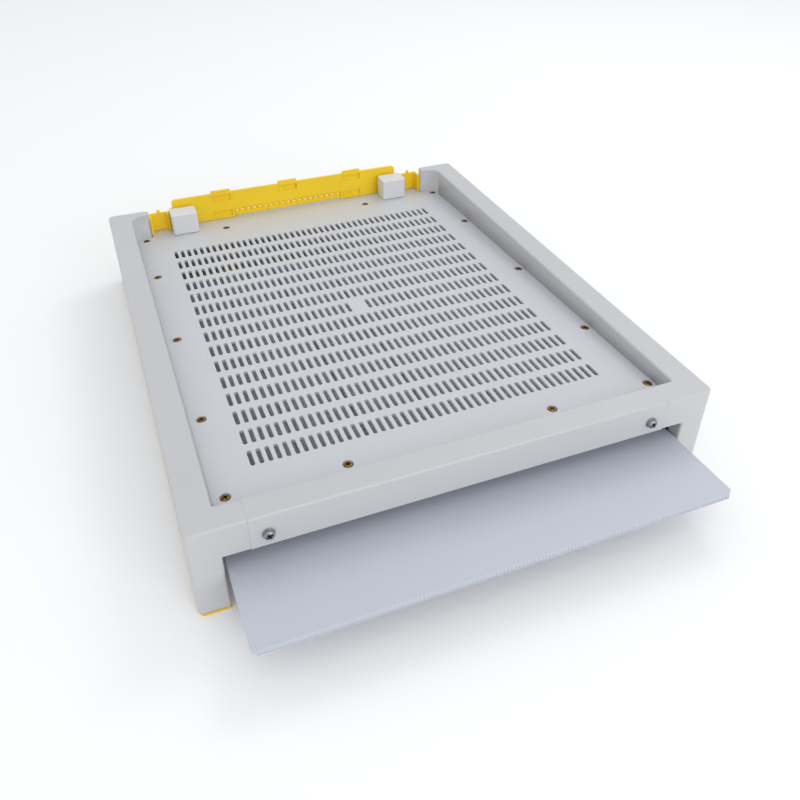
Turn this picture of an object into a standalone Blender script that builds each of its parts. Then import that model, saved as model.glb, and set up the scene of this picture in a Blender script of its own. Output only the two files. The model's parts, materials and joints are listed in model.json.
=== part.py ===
"""Ventilated floor of a plastic beehive, with a pull-out tray and an entrance gate.

Metres, +Z up. X runs across the hive, +Y points out of the bees' entrance, and the
tray is drawn out towards -Y. The floor stands on its base covers.
"""
import math

import bmesh
import bpy
from mathutils import Matrix, Vector

MM = 0.001

# Frame, outside
FRAME_WIDTH = 425 * MM
FRAME_LENGTH = 508 * MM
FRAME_HEIGHT = 82.5 * MM
RIM_WIDTH = 23.5 * MM            # side members, seen from above
CORNER_RADIUS = 4 * MM           # the four upright outer corners
TOP_EDGE = 1.5 * MM              # rounding along the rim's outer top edge
WALL = 2.5 * MM                  # skin of the hollow members
FIT_GAP = 0.3 * MM               # between pieces that touch
SIDE_NAMES = {-1: "left", 1: "right"}
CORNER_RETURN = 20 * MM          # how far a side member turns in at each end
REAR_RAIL_WIDTH = 22 * MM
ENTRANCE_WALL = 10.5 * MM        # corner return above the floor
SILL_WIDTH = 24 * MM             # entrance sill and corner post below the floor
POCKET_COUNT = 5                 # hollows in each side member
RIB_WALL = 3 * MM                # cross walls between the hollows
RAIL_POCKET_COUNT = 4            # hollows in the rear rail
RAIL_END_WALL = 28 * MM          # its solid ends, which take the rail screws
SILL_POCKET_COUNT = 4            # hollows in the entrance sill
SILL_TOP_WALL = 20 * MM          # from the floor's top down to them, past the screws

# Base covers
COVER_THICKNESS = 2.2 * MM

# Sloping screen floor
FLOOR_SLOPE = math.radians(1.74)  # falls towards the entrance
FLOOR_DEPTH = 21.5 * MM          # rim top down to the floor, at mid-length
FLOOR_THICKNESS = 3 * MM
FLOOR_LIP = 14 * MM              # landing lip, past the frame's entrance face
FLOOR_RIB_HEIGHT = 8 * MM
FLOOR_RIB_THICKNESS = 1.6 * MM
FLOOR_RIB_PITCH = 56 * MM
FLOOR_RIB_COUNT = 5
FLOOR_RIB_END = 34 * MM          # ribs stop this far short of the rail and the sill
LEDGE_DEPTH = 12 * MM            # ledges under the floor's edge
REAR_LEDGE_MARGIN = 8 * MM       # the rail's ledge, past the rear screws

# Tray and its runners
TRAY_THICKNESS = 5 * MM
TRAY_END_GAP = 4 * MM            # left at the sill when the tray is flush with the rear face
TRAY_SIDE_GAP = 2.1 * MM
TRAY_DROP = 30.4 * MM            # floor's top down to the tray's top, square to them
TRAY_DRAWN_OUT = 68 * MM         # how far the tray stands out at rest
RUNNER_WALL = 1.2 * MM
RUNNER_FLANGE = 9 * MM
RUNNER_CLEARANCE = 1 * MM        # above the tray
RUNNER_SETBACK = 22 * MM         # from the frame's rear face

# Floor screws
SCREW_HEAD_RADIUS = 3.5 * MM
SCREW_HEAD_HEIGHT = 1.6 * MM
DISH_RADIUS = 5.5 * MM           # round sinking in the floor for each head
DISH_DEPTH = 1.4 * MM
SCREW_SHANK_RADIUS = 1.6 * MM
SCREW_LENGTH = 12 * MM
SCREW_HOLE_CLEARANCE = 0.3 * MM
SCREW_INSET = 9 * MM             # side screws, from the recess wall
SCREW_SHIFT = 3 * MM             # the whole pattern sits this much towards +X
REAR_SCREW_SPACING = 175 * MM    # between the two screws at the rear
SCREW_TO_BLOCK = 28 * MM         # from a front screw out to the block's inner side
END_MARGIN_REAR = 19.5 * MM      # rear screws, in from the rail
END_MARGIN_FRONT = 5 * MM        # front screws, in from the corner posts' inner face
SIDE_SCREW_STEPS = (0.0, 0.213, 0.497, 0.79, 1.0)  # share of the way from rear to front

# Rail screws and washers
RAIL_SCREW_INSET = 13 * MM       # from the rail's ends
RAIL_SCREW_DROP = 17 * MM        # below the rim's top
RAIL_SCREW_HEAD_RADIUS = 4.4 * MM
RAIL_SCREW_HEAD_HEIGHT = 2.8 * MM
RAIL_SCREW_SHANK_RADIUS = 2 * MM
RAIL_SCREW_LENGTH = 14 * MM
WASHER_RADIUS = 5.4 * MM
WASHER_THICKNESS = 1 * MM

# Entrance
GATE_WIDTH = 280 * MM
GATE_HEIGHT = 33 * MM
GATE_THICKNESS = 3 * MM
GATE_CORNER = 4 * MM
GATE_FACE_OFFSET = 7.6 * MM      # from the frame's entrance face out to the gate
GATE_TAB_WIDTH = 23 * MM
GATE_TAB_HEIGHT = 3 * MM
GATE_TAB_THICKNESS = 1.8 * MM
GATE_FEATURE_OFFSET = 82 * MM    # tabs and pockets, each side of the middle
POCKET_HEIGHT = 7.5 * MM
POCKET_DEPTH = 1.2 * MM
POCKET_UPPER = 26.5 * MM         # middle of the upper pockets above the gate's foot
POCKET_LOWER = 6 * MM
BEE_HOLE_RADIUS = 2.5 * MM
BEE_HOLE_PITCH = 7.17 * MM
BEE_HOLE_COUNT = 19
BEE_HOLE_HEIGHT = 8.2 * MM
FOOT_GAP_WIDTH = 132 * MM        # gap under the row of bee holes
FOOT_GAP_HEIGHT = 2.2 * MM
GUIDE_WALL = 2.5 * MM
GUIDE_TOP_DROP = 7.5 * MM        # below the rim's top
GUIDE_DEPTH = 15 * MM
GUIDE_GRIP = 7 * MM              # overlap on the gate's end
GUIDE_CLEARANCE = 0.8 * MM       # around the gate's end
NUB_SIZE = 3.4 * MM
NUB_OFFSET = 13.5 * MM           # nub's inner side, from the corner return
CHEEK_DEPTH = 6 * MM             # the shallow cheek beside the block
BLOCK_OUTSET = 5 * MM            # block's outer side, past the gate's end
BLOCK_WIDTH = 29.5 * MM
BLOCK_DEPTH = 22 * MM
BLOCK_TOP_DROP = 4 * MM          # below the rim's top
BLOCK_EDGE = 2.5 * MM
BLOCK_WALL = 2.2 * MM
BLOCK_GAP = 0.6 * MM             # to the guide beside it

# Worked out from the above
HALF_WIDTH = FRAME_WIDTH / 2
HALF_LENGTH = FRAME_LENGTH / 2
RECESS_HALF = HALF_WIDTH - RIM_WIDTH
RETURN_X = RECESS_HALF - CORNER_RETURN
RAIL_Y = -HALF_LENGTH + REAR_RAIL_WIDTH
POST_Y = HALF_LENGTH - SILL_WIDTH
ENTRANCE_WALL_Y = HALF_LENGTH - ENTRANCE_WALL
FLOOR_MID_Z = FRAME_HEIGHT - FLOOR_DEPTH
LIP_Y = HALF_LENGTH + FLOOR_LIP
GATE_Y = HALF_LENGTH + GATE_FACE_OFFSET
TRAY_LENGTH = POST_Y + HALF_LENGTH - TRAY_END_GAP
BODY_FOOT_Z = COVER_THICKNESS + FIT_GAP
BLOCK_OUTER_X = GATE_WIDTH / 2 + BLOCK_OUTSET
BIG = 0.2                        # how far cutters run past what they cut


def floor_z(y, below=0.0):
    """Height of the floor's top at y, or of the plane that lies `below` it."""
    return FLOOR_MID_Z - y * math.tan(FLOOR_SLOPE) - below / math.cos(FLOOR_SLOPE)


def tilt(below=0.0):
    """Places the floor's own axes, their plane lowered by `below`."""
    turn = Matrix.Rotation(-FLOOR_SLOPE, 4, "X")
    return Matrix.Translation((0, 0, FLOOR_MID_Z)) @ turn @ Matrix.Translation((0, 0, -below))


def start():
    """Empties the scene and makes the collections for parts and cutters."""
    for old in list(bpy.data.objects):
        bpy.data.objects.remove(old, do_unlink=True)
    made = []
    for name in ("ventilated_hive_floor", "cutters"):
        collection = bpy.data.collections.new(name)
        bpy.context.scene.collection.children.link(collection)
        made.append(collection)
    return made


PARTS, CUTTERS = start()


def material(name, color, roughness, metallic=0.0):
    """A Principled BSDF with one colour."""
    made = bpy.data.materials.new(name)
    made.use_nodes = True
    shader = made.node_tree.nodes["Principled BSDF"]
    shader.inputs["Base Color"].default_value = (*color, 1.0)
    shader.inputs["Roughness"].default_value = roughness
    shader.inputs["Metallic"].default_value = metallic
    made.diffuse_color = (*color, 1.0)
    return made


FINISHES = {
    "white_body": ((0.80, 0.81, 0.82), 0.38, 0.0),
    "white_floor": ((0.82, 0.83, 0.84), 0.42, 0.0),
    "white_sheet": ((0.74, 0.77, 0.84), 0.45, 0.0),
    "white_runner": ((0.78, 0.79, 0.80), 0.45, 0.0),
    "yellow_gate": ((0.72, 0.47, 0.02), 0.42, 0.0),
    "yellow_base": ((0.60, 0.38, 0.02), 0.50, 0.0),
    "brassed_steel": ((0.55, 0.40, 0.16), 0.35, 1.0),
    "zinc_steel": ((0.70, 0.72, 0.74), 0.28, 1.0),
}


def put(name, mesh, finish=None, matrix=None):
    """Makes an object in PARTS, or a hidden cutter when it has no finish."""
    made = bpy.data.objects.new(name, mesh)
    if matrix is not None:
        made.matrix_world = matrix
    if finish is None:
        CUTTERS.objects.link(made)
        made.hide_render = True
        made.display_type = "WIRE"
        return made
    PARTS.objects.link(made)
    mesh.materials.append(material(name + "_" + finish, *FINISHES[finish]))
    return made


def block_mesh(name, low, high, round_edges=(), top_round=0.0):
    """A cube primitive sized to run from low to high.

    round_edges holds (x side, y side, radius, segments) for upright edges; top_round
    rounds whatever top edges lie on the outline.
    """
    low = Vector(low)
    high = Vector(high)
    mid = (low + high) / 2
    span = high - low
    shape = bmesh.new()
    bmesh.ops.create_cube(shape, size=1.0)
    bmesh.ops.scale(shape, vec=span, verts=shape.verts)
    bmesh.ops.translate(shape, vec=mid, verts=shape.verts)
    for x_side, y_side, radius, segments in round_edges:
        chosen = []
        for edge in shape.edges:
            a, b = edge.verts
            upright = abs(a.co.z - b.co.z) > span.z / 2
            at_x = abs(a.co.x - mid.x - x_side * span.x / 2) < 1e-6
            at_y = abs(a.co.y - mid.y - y_side * span.y / 2) < 1e-6
            if upright and at_x and at_y:
                chosen.append(edge)
        bmesh.ops.bevel(shape, geom=chosen, offset=radius, segments=segments, affect="EDGES", profile=0.5)
    if top_round > 0:
        top = [edge for edge in shape.edges if min(v.co.z for v in edge.verts) > high.z - 1e-6]
        bmesh.ops.bevel(shape, geom=top, offset=top_round, segments=1, affect="EDGES", profile=0.5)
    mesh = bpy.data.meshes.new(name)
    shape.to_mesh(mesh)
    shape.free()
    return mesh


def rod_mesh(name, radius, low, high, sides=10):
    """A capped cylinder along Z from low to high."""
    shape = bmesh.new()
    bmesh.ops.create_cone(shape, cap_ends=True, segments=sides, radius1=radius, radius2=radius, depth=high - low)
    bmesh.ops.translate(shape, vec=(0, 0, (low + high) / 2), verts=shape.verts)
    mesh = bpy.data.meshes.new(name)
    shape.to_mesh(mesh)
    shape.free()
    return mesh


def combine(piece, other, operation):
    """Adds a Boolean of piece with the cutter other."""
    step = piece.modifiers.new(operation.lower() + "_" + other.name, "BOOLEAN")
    step.operation = operation
    step.object = other
    step.solver = "EXACT"


def cut(piece, other):
    combine(piece, other, "DIFFERENCE")


def join(piece, other):
    combine(piece, other, "UNION")


def gather(name, meshes):
    """One cutter object holding separate closed shapes, given as (mesh, matrix)."""
    shape = bmesh.new()
    for mesh, matrix in meshes:
        mesh.transform(matrix)
        shape.from_mesh(mesh)
        bpy.data.meshes.remove(mesh)
    mesh = bpy.data.meshes.new(name)
    shape.to_mesh(mesh)
    shape.free()
    return put(name, mesh)


def floor_screw_places():
    """(x, y) on the floor's plane: five down each side, two at each end."""
    rear = RAIL_Y + END_MARGIN_REAR
    front = POST_Y + END_MARGIN_FRONT
    places = []
    for side in (-1, 1):
        for step in SIDE_SCREW_STEPS:
            places.append((side * (RECESS_HALF - SCREW_INSET) + SCREW_SHIFT, rear + step * (front - rear)))
    front_half = BLOCK_OUTER_X - BLOCK_WIDTH - SCREW_TO_BLOCK
    for y, half in ((rear, REAR_SCREW_SPACING / 2), (front, front_half)):
        for side in (-1, 1):
            places.append((side * half + SCREW_SHIFT, y))
    return places


def screw_hole_cutter(name, radius, low, sides=10):
    """Round holes, square to the floor, from `low` up past it at every floor screw."""
    holes = []
    for x, y in floor_screw_places():
        place = tilt() @ Matrix.Translation((x, y, 0))
        holes.append((rod_mesh("hole", radius, low, 2 * FLOOR_THICKNESS, sides), place))
    return gather(name, holes)


def frame_cutters():
    """The recess above the floor and the tunnel for the tray, both parallel to the floor."""
    under = FLOOR_THICKNESS + FIT_GAP
    recess = block_mesh(
        "recess", (-RECESS_HALF, RAIL_Y, -under), (RECESS_HALF, ENTRANCE_WALL_Y, BIG),
    )
    tunnel = block_mesh(
        "tunnel", (-RECESS_HALF, -HALF_LENGTH - BIG, -BIG), (RECESS_HALF, POST_Y, -under - LEDGE_DEPTH),
    )
    doorway = block_mesh(
        "doorway", (-HALF_WIDTH, -HALF_LENGTH, -under), (HALF_WIDTH, LIP_Y + BIG, BIG),
    )
    return (
        put("recess_cutter", recess, matrix=tilt()),
        put("tunnel_cutter", tunnel, matrix=tilt()),
        put("doorway_cutter", doorway, matrix=tilt()),
    )


def side_pockets(side):
    """Hollows in a side member, open at the foot."""
    span = FRAME_LENGTH - 2 * WALL
    pocket = (span - (POCKET_COUNT - 1) * RIB_WALL) / POCKET_COUNT
    x_ends = sorted((side * (RECESS_HALF + WALL), side * (HALF_WIDTH - WALL)))
    hollows = []
    for index in range(POCKET_COUNT):
        y = -HALF_LENGTH + WALL + index * (pocket + RIB_WALL)
        corners = []
        for y_side, at_end in ((-1, index == 0), (1, index == POCKET_COUNT - 1)):
            if at_end:
                corners.append((side, y_side, CORNER_RADIUS - WALL, 2))
        mesh = block_mesh(
            "hollow", (x_ends[0], y, -BIG), (x_ends[1], y + pocket, FRAME_HEIGHT - WALL), corners,
        )
        hollows.append((mesh, Matrix()))
    return gather("side_pockets_" + SIDE_NAMES[side], hollows)


def side_frame(side, recess, tunnel, holes):
    """A side member: hollow rim, ledge under the floor, and a return at each end."""
    x_ends = sorted((side * RETURN_X, side * HALF_WIDTH))
    corners = [(side, -1, CORNER_RADIUS, 4), (side, 1, CORNER_RADIUS, 4)]
    name = "side_frame_" + SIDE_NAMES[side]
    mesh = block_mesh(
        name, (x_ends[0], -HALF_LENGTH, BODY_FOOT_Z), (x_ends[1], HALF_LENGTH, FRAME_HEIGHT), corners, TOP_EDGE,
    )
    piece = put(name, mesh, "white_body")
    cut(piece, recess)
    cut(piece, tunnel)
    cut(piece, side_pockets(side))
    cut(piece, holes)
    return piece


def rail_screw_places():
    x = RETURN_X - RAIL_SCREW_INSET
    z = FRAME_HEIGHT - RAIL_SCREW_DROP
    return ((-x, z), (x, z))


def rear_rail(recess, tunnel, holes):
    """Cross rail over the tray's mouth, with its ledge under the floor's rear edge."""
    x = RETURN_X - FIT_GAP
    ledge_y = RAIL_Y + END_MARGIN_REAR + REAR_LEDGE_MARGIN
    mesh = block_mesh("rear_rail", (-x, -HALF_LENGTH, BODY_FOOT_Z), (x, ledge_y, FRAME_HEIGHT))
    piece = put("rear_rail", mesh, "white_body")
    cut(piece, recess)
    cut(piece, tunnel)
    cut(piece, holes)
    pocket_width = (2 * x - 2 * RAIL_END_WALL - (RAIL_POCKET_COUNT - 1) * RIB_WALL) / RAIL_POCKET_COUNT
    pockets = []
    for index in range(RAIL_POCKET_COUNT):
        left = -x + RAIL_END_WALL + index * (pocket_width + RIB_WALL)
        low = (left, -HALF_LENGTH + WALL, -BIG)
        high = (left + pocket_width, RAIL_Y - WALL, FRAME_HEIGHT - WALL)
        pockets.append((block_mesh("hollow", low, high), Matrix()))
    cut(piece, gather("rail_pockets", pockets))
    bores = []
    for x, z in rail_screw_places():
        place = Matrix.Translation((x, -HALF_LENGTH, z)) @ Matrix.Rotation(math.radians(90), 4, "X")
        bore_radius = RAIL_SCREW_SHANK_RADIUS + SCREW_HOLE_CLEARANCE
        bores.append((rod_mesh("bore", bore_radius, -RAIL_SCREW_LENGTH - 1 * MM, BIG / 10), place))
    cut(piece, gather("rail_bores", bores))
    return piece


def entrance_sill(doorway, holes):
    """Cross member under the entrance, from the ground to the floor, hollow from below."""
    x = RETURN_X - FIT_GAP
    mesh = block_mesh("entrance_sill", (-x, POST_Y, BODY_FOOT_Z), (x, HALF_LENGTH, FRAME_HEIGHT))
    piece = put("entrance_sill", mesh, "white_body")
    cut(piece, doorway)
    cut(piece, holes)
    pocket_width = (2 * x - 2 * WALL - (SILL_POCKET_COUNT - 1) * RIB_WALL) / SILL_POCKET_COUNT
    pockets = []
    for index in range(SILL_POCKET_COUNT):
        left = -x + WALL + index * (pocket_width + RIB_WALL)
        low = (left, POST_Y + WALL, -BIG)
        high = (left + pocket_width, HALF_LENGTH - WALL, floor_z(HALF_LENGTH) - SILL_TOP_WALL)
        pockets.append((block_mesh("hollow", low, high), Matrix()))
    cut(piece, gather("sill_pockets", pockets))
    return piece


def base_covers():
    """Flat plates that close the hollow members underneath."""
    for side in (-1, 1):
        x_ends = sorted((side * RECESS_HALF, side * HALF_WIDTH))
        corners = [(side, -1, CORNER_RADIUS, 4), (side, 1, CORNER_RADIUS, 4)]
        name = "base_cover_" + SIDE_NAMES[side]
        mesh = block_mesh(name, (x_ends[0], -HALF_LENGTH, 0), (x_ends[1], HALF_LENGTH, COVER_THICKNESS), corners)
        put(name, mesh, "yellow_base")
    x = RECESS_HALF - FIT_GAP
    mesh = block_mesh("base_cover_entrance", (-x, POST_Y, 0), (x, HALF_LENGTH, COVER_THICKNESS))
    put("base_cover_entrance", mesh, "yellow_base")


def screen_floor(holes, dishes):
    """Sloping floor with ribs beneath and a landing lip through the entrance.

    Its ventilation slots are finer than this solid goes: they belong to the surface model.
    """
    x = RECESS_HALF - FIT_GAP
    lip_x = RETURN_X - FIT_GAP
    mesh = block_mesh("screen_floor", (-x, RAIL_Y + FIT_GAP, -FLOOR_THICKNESS), (x, ENTRANCE_WALL_Y - FIT_GAP, 0))
    piece = put("screen_floor", mesh, "white_floor", tilt())
    overlap = 20 * MM
    lip = block_mesh("lip", (-lip_x, ENTRANCE_WALL_Y - overlap, -FLOOR_THICKNESS), (lip_x, LIP_Y, 0))
    join(piece, put("floor_lip", lip, matrix=tilt()))
    ribs = []
    for index in range(FLOOR_RIB_COUNT):
        rib_x = (index - (FLOOR_RIB_COUNT - 1) / 2) * FLOOR_RIB_PITCH
        low = (rib_x - FLOOR_RIB_THICKNESS / 2, RAIL_Y + FLOOR_RIB_END, -FLOOR_THICKNESS - FLOOR_RIB_HEIGHT)
        high = (rib_x + FLOOR_RIB_THICKNESS / 2, POST_Y - FLOOR_RIB_END / 2, -FLOOR_THICKNESS / 2)
        ribs.append((block_mesh("rib", low, high), tilt()))
    join(piece, gather("floor_ribs", ribs))
    cut(piece, dishes)
    cut(piece, holes)
    return piece


def turned(name, profile, finish, matrix, steps=10):
    """A profile of (radius, height) points, top to bottom, turned about Z."""
    shape = bmesh.new()
    verts = [shape.verts.new((radius, 0, height)) for radius, height in profile]
    for first, second in zip(verts, verts[1:]):
        shape.edges.new((first, second))
    mesh = bpy.data.meshes.new(name)
    shape.to_mesh(mesh)
    shape.free()
    piece = put(name, mesh, finish, matrix)
    spin = piece.modifiers.new("turn", "SCREW")
    spin.steps = steps
    spin.render_steps = steps
    spin.use_merge_vertices = True
    spin.merge_threshold = 0.01 * MM
    return piece


def screw_profile(head_radius, head_height, shank_radius, length, under_head):
    """Domed pan head above z = under_head, shank below it with a short point."""
    return (
        (0.0, under_head + head_height),
        (head_radius * 0.62, under_head + head_height * 0.85),
        (head_radius, under_head + head_height * 0.35),
        (head_radius, under_head),
        (shank_radius, under_head),
        (shank_radius, under_head - length + 2 * shank_radius),
        (0.0, under_head - length),
    )


def floor_screws():
    """Screws that hold the floor down, square to it."""
    profile = screw_profile(
        SCREW_HEAD_RADIUS, SCREW_HEAD_HEIGHT, SCREW_SHANK_RADIUS, SCREW_LENGTH, FIT_GAP - DISH_DEPTH,
    )
    for index, (x, y) in enumerate(floor_screw_places(), start=1):
        place = tilt() @ Matrix.Translation((x, y, 0))
        turned("floor_screw_%02d" % index, profile, "brassed_steel", place)


def rail_fasteners():
    """Pan-head screws with plain washers in the rail's rear face."""
    for side, (x, z) in zip((-1, 1), rail_screw_places()):
        place = Matrix.Translation((x, -HALF_LENGTH, z)) @ Matrix.Rotation(math.radians(90), 4, "X")
        washer_low = FIT_GAP
        washer_high = FIT_GAP + WASHER_THICKNESS
        hole = RAIL_SCREW_SHANK_RADIUS + SCREW_HOLE_CLEARANCE
        washer = put(
            "rail_washer_" + SIDE_NAMES[side],
            rod_mesh("washer", WASHER_RADIUS, washer_low, washer_high, 16),
            "zinc_steel", place,
        )
        bore = put("washer_bore_" + SIDE_NAMES[side], rod_mesh("bore", hole, -BIG / 20, BIG / 20, 12), matrix=place)
        cut(washer, bore)
        profile = screw_profile(
            RAIL_SCREW_HEAD_RADIUS, RAIL_SCREW_HEAD_HEIGHT, RAIL_SCREW_SHANK_RADIUS,
            RAIL_SCREW_LENGTH, washer_high + FIT_GAP,
        )
        turned("rail_screw_" + SIDE_NAMES[side], profile, "zinc_steel", place, steps=14)


def tray():
    """Fluted sheet that slides in parallel to the floor, drawn part of the way out."""
    x = RECESS_HALF - TRAY_SIDE_GAP
    rear = -HALF_LENGTH - TRAY_DRAWN_OUT
    mesh = block_mesh(
        "inspection_tray", (-x, rear, -TRAY_THICKNESS), (x, rear + TRAY_LENGTH, 0),
        [(-1, -1, 1.5 * MM, 2), (1, -1, 1.5 * MM, 2)],
    )
    return put("inspection_tray", mesh, "white_sheet", tilt(below=TRAY_DROP))


def tray_runners():
    """Channels on the inner walls that carry the tray's edges."""
    top = RUNNER_CLEARANCE
    bottom = -TRAY_THICKNESS - FIT_GAP
    rear = -HALF_LENGTH + RUNNER_SETBACK
    front = POST_Y - FIT_GAP - 1 * MM
    wall_x = RECESS_HALF - FIT_GAP
    for side in (-1, 1):
        name = "tray_runner_" + SIDE_NAMES[side]
        x_ends = sorted((side * (wall_x - RUNNER_FLANGE), side * wall_x))
        low = (x_ends[0], rear, bottom - RUNNER_WALL)
        high = (x_ends[1], front, top + RUNNER_WALL)
        piece = put(name, block_mesh(name, low, high), "white_runner", tilt(below=TRAY_DROP))
        slot_ends = sorted((side * (wall_x - RUNNER_FLANGE - BIG / 10), side * (wall_x - RUNNER_WALL)))
        slot = block_mesh("slot", (slot_ends[0], rear - BIG / 10, bottom), (slot_ends[1], front + BIG / 10, top))
        cut(piece, put("runner_slot_" + SIDE_NAMES[side], slot, matrix=tilt(below=TRAY_DROP)))


def entrance_gate():
    """Panel that stands on the lip: tabs on top, finger pockets and a row of bee holes."""
    foot = floor_z(GATE_Y) + FIT_GAP
    x = GATE_WIDTH / 2
    back = GATE_Y + GATE_THICKNESS
    shape = bmesh.new()
    bmesh.ops.create_cube(shape, size=1.0)
    bmesh.ops.scale(shape, vec=(GATE_WIDTH, GATE_THICKNESS, GATE_HEIGHT), verts=shape.verts)
    bmesh.ops.translate(shape, vec=(0, GATE_THICKNESS / 2, GATE_HEIGHT / 2), verts=shape.verts)
    top_corners = []
    for edge in shape.edges:
        a, b = edge.verts
        if min(a.co.z, b.co.z) > GATE_HEIGHT / 2 and abs(a.co.y - b.co.y) > GATE_THICKNESS / 2:
            top_corners.append(edge)
    bmesh.ops.bevel(shape, geom=top_corners, offset=GATE_CORNER, segments=3, affect="EDGES", profile=0.5)
    mesh = bpy.data.meshes.new("entrance_gate")
    shape.to_mesh(mesh)
    shape.free()
    piece = put("entrance_gate", mesh, "yellow_gate", Matrix.Translation((0, GATE_Y, foot)))
    tabs = []
    for place in (-1, 0, 1):
        tab_x = place * GATE_FEATURE_OFFSET
        low = (tab_x - GATE_TAB_WIDTH / 2, GATE_Y + GATE_THICKNESS - GATE_TAB_THICKNESS, foot + GATE_HEIGHT - 2 * MM)
        high = (tab_x + GATE_TAB_WIDTH / 2, back, foot + GATE_HEIGHT + GATE_TAB_HEIGHT)
        tabs.append((block_mesh("tab", low, high), Matrix()))
    join(piece, gather("gate_tabs", tabs))
    pockets = []
    spots = [(place * GATE_FEATURE_OFFSET, height) for place in (-1, 1) for height in (POCKET_UPPER, POCKET_LOWER)]
    spots.append((0.0, POCKET_UPPER))
    for pocket_x, height in spots:
        low = (pocket_x - GATE_TAB_WIDTH / 2, GATE_Y - BIG / 10, foot + height - POCKET_HEIGHT / 2)
        high = (pocket_x + GATE_TAB_WIDTH / 2, GATE_Y + POCKET_DEPTH, foot + height + POCKET_HEIGHT / 2)
        pockets.append((block_mesh("pocket", low, high), Matrix()))
    cut(piece, gather("gate_pockets", pockets))
    gap = block_mesh(
        "gap", (-FOOT_GAP_WIDTH / 2, GATE_Y - BIG / 10, foot - BIG / 10),
        (FOOT_GAP_WIDTH / 2, back + BIG / 10, foot + FOOT_GAP_HEIGHT),
    )
    holes = [(gap, Matrix())]
    turn = Matrix.Rotation(math.radians(90), 4, "X")
    for index in range(BEE_HOLE_COUNT):
        hole_x = (index - (BEE_HOLE_COUNT - 1) / 2) * BEE_HOLE_PITCH
        place = Matrix.Translation((hole_x, GATE_Y, foot + BEE_HOLE_HEIGHT)) @ turn
        holes.append((rod_mesh("hole", BEE_HOLE_RADIUS, -BIG / 10, BIG / 10, 8), place))
    cut(piece, gather("gate_holes", holes))
    return piece


def gate_guides():
    """Yellow channels at the entrance's ends: a pocket facing the hive and a groove for the gate."""
    top = FRAME_HEIGHT - GUIDE_TOP_DROP
    outer_x = RETURN_X - FIT_GAP
    front_y = GATE_Y - GUIDE_CLEARANCE
    groove_back = GATE_Y + GATE_THICKNESS + GUIDE_CLEARANCE
    post_x = GATE_WIDTH / 2 + GUIDE_CLEARANCE
    grip_x = GATE_WIDTH / 2 - GUIDE_GRIP
    channel_y = front_y - GUIDE_WALL
    for side in (-1, 1):
        name = "gate_guide_" + SIDE_NAMES[side]

        def slab(label, x_low, x_high, y_low, y_high, z_high=top):
            x_ends = sorted((side * x_low, side * x_high))
            y_foot = min(y_low, y_high)
            foot = floor_z(y_foot) + FIT_GAP
            return block_mesh(label, (x_ends[0], y_low, foot), (x_ends[1], y_high, z_high))

        piece = put(name, slab(name, grip_x, outer_x, channel_y, front_y), "yellow_gate")
        cheek_y = channel_y - GUIDE_DEPTH + GUIDE_WALL
        parts = [
            slab("corner_cheek", outer_x - GUIDE_WALL, outer_x, cheek_y, channel_y + GUIDE_WALL / 2),
            slab("block_cheek", BLOCK_OUTER_X + BLOCK_GAP, BLOCK_OUTER_X + BLOCK_GAP + GUIDE_WALL,
                 channel_y - CHEEK_DEPTH, channel_y + GUIDE_WALL / 2),
            slab("groove_post", post_x, post_x + GUIDE_WALL, front_y - GUIDE_WALL / 2, groove_back + GUIDE_WALL),
            slab("groove_lip", grip_x, post_x + GUIDE_WALL / 2, groove_back, groove_back + GUIDE_WALL),
        ]
        nub_x = outer_x - NUB_OFFSET
        nub_ends = sorted((side * nub_x, side * (nub_x + NUB_SIZE)))
        parts.append(block_mesh(
            "nub", (nub_ends[0], channel_y, top - 1 * MM), (nub_ends[1], front_y, top + NUB_SIZE),
        ))
        for number, mesh in enumerate(parts):
            join(piece, put("guide_%s_part_%d" % (SIDE_NAMES[side], number), mesh))


def gate_blocks():
    """White stops that stand on the floor in front of the gate's ends, hollow from below."""
    top = FRAME_HEIGHT - BLOCK_TOP_DROP
    y_high = GATE_Y - GUIDE_CLEARANCE - GUIDE_WALL - BLOCK_GAP
    y_low = y_high - BLOCK_DEPTH
    foot = floor_z(y_low) + FIT_GAP
    for side in (-1, 1):
        name = "gate_block_" + SIDE_NAMES[side]
        x_ends = sorted((side * (BLOCK_OUTER_X - BLOCK_WIDTH), side * BLOCK_OUTER_X))
        corners = [(x_side, y_side, BLOCK_EDGE, 2) for x_side in (-1, 1) for y_side in (-1, 1)]
        mesh = block_mesh(name, (x_ends[0], y_low, foot), (x_ends[1], y_high, top), corners, 1 * MM)
        piece = put(name, mesh, "white_body")
        hollow = block_mesh(
            "hollow", (x_ends[0] + BLOCK_WALL, y_low + BLOCK_WALL, 0),
            (x_ends[1] - BLOCK_WALL, y_high - BLOCK_WALL, top - BLOCK_WALL),
        )
        cut(piece, put("block_hollow_" + SIDE_NAMES[side], hollow))


def shade_round_pieces():
    for piece in PARTS.objects:
        if "screw" in piece.name or "washer" in piece.name:
            for face in piece.data.polygons:
                face.use_smooth = True


def stand_at_origin():
    """Hangs every piece on one empty, moved so that the whole stands centred on the origin."""
    bpy.context.view_layer.update()
    graph = bpy.context.evaluated_depsgraph_get()
    points = []
    for piece in PARTS.objects:
        shown = piece.evaluated_get(graph)
        mesh = shown.to_mesh()
        points.extend(shown.matrix_world @ vertex.co for vertex in mesh.vertices)
        shown.to_mesh_clear()
    low = Vector([min(point[axis] for point in points) for axis in range(3)])
    high = Vector([max(point[axis] for point in points) for axis in range(3)])
    centre = bpy.data.objects.new("floor_centre", None)
    bpy.context.scene.collection.objects.link(centre)
    for piece in list(PARTS.objects) + list(CUTTERS.objects):
        piece.parent = centre
    centre.location = (-(low.x + high.x) / 2, -(low.y + high.y) / 2, -low.z)
    print("frame centre now at", tuple(round(value, 6) for value in centre.location))


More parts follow.
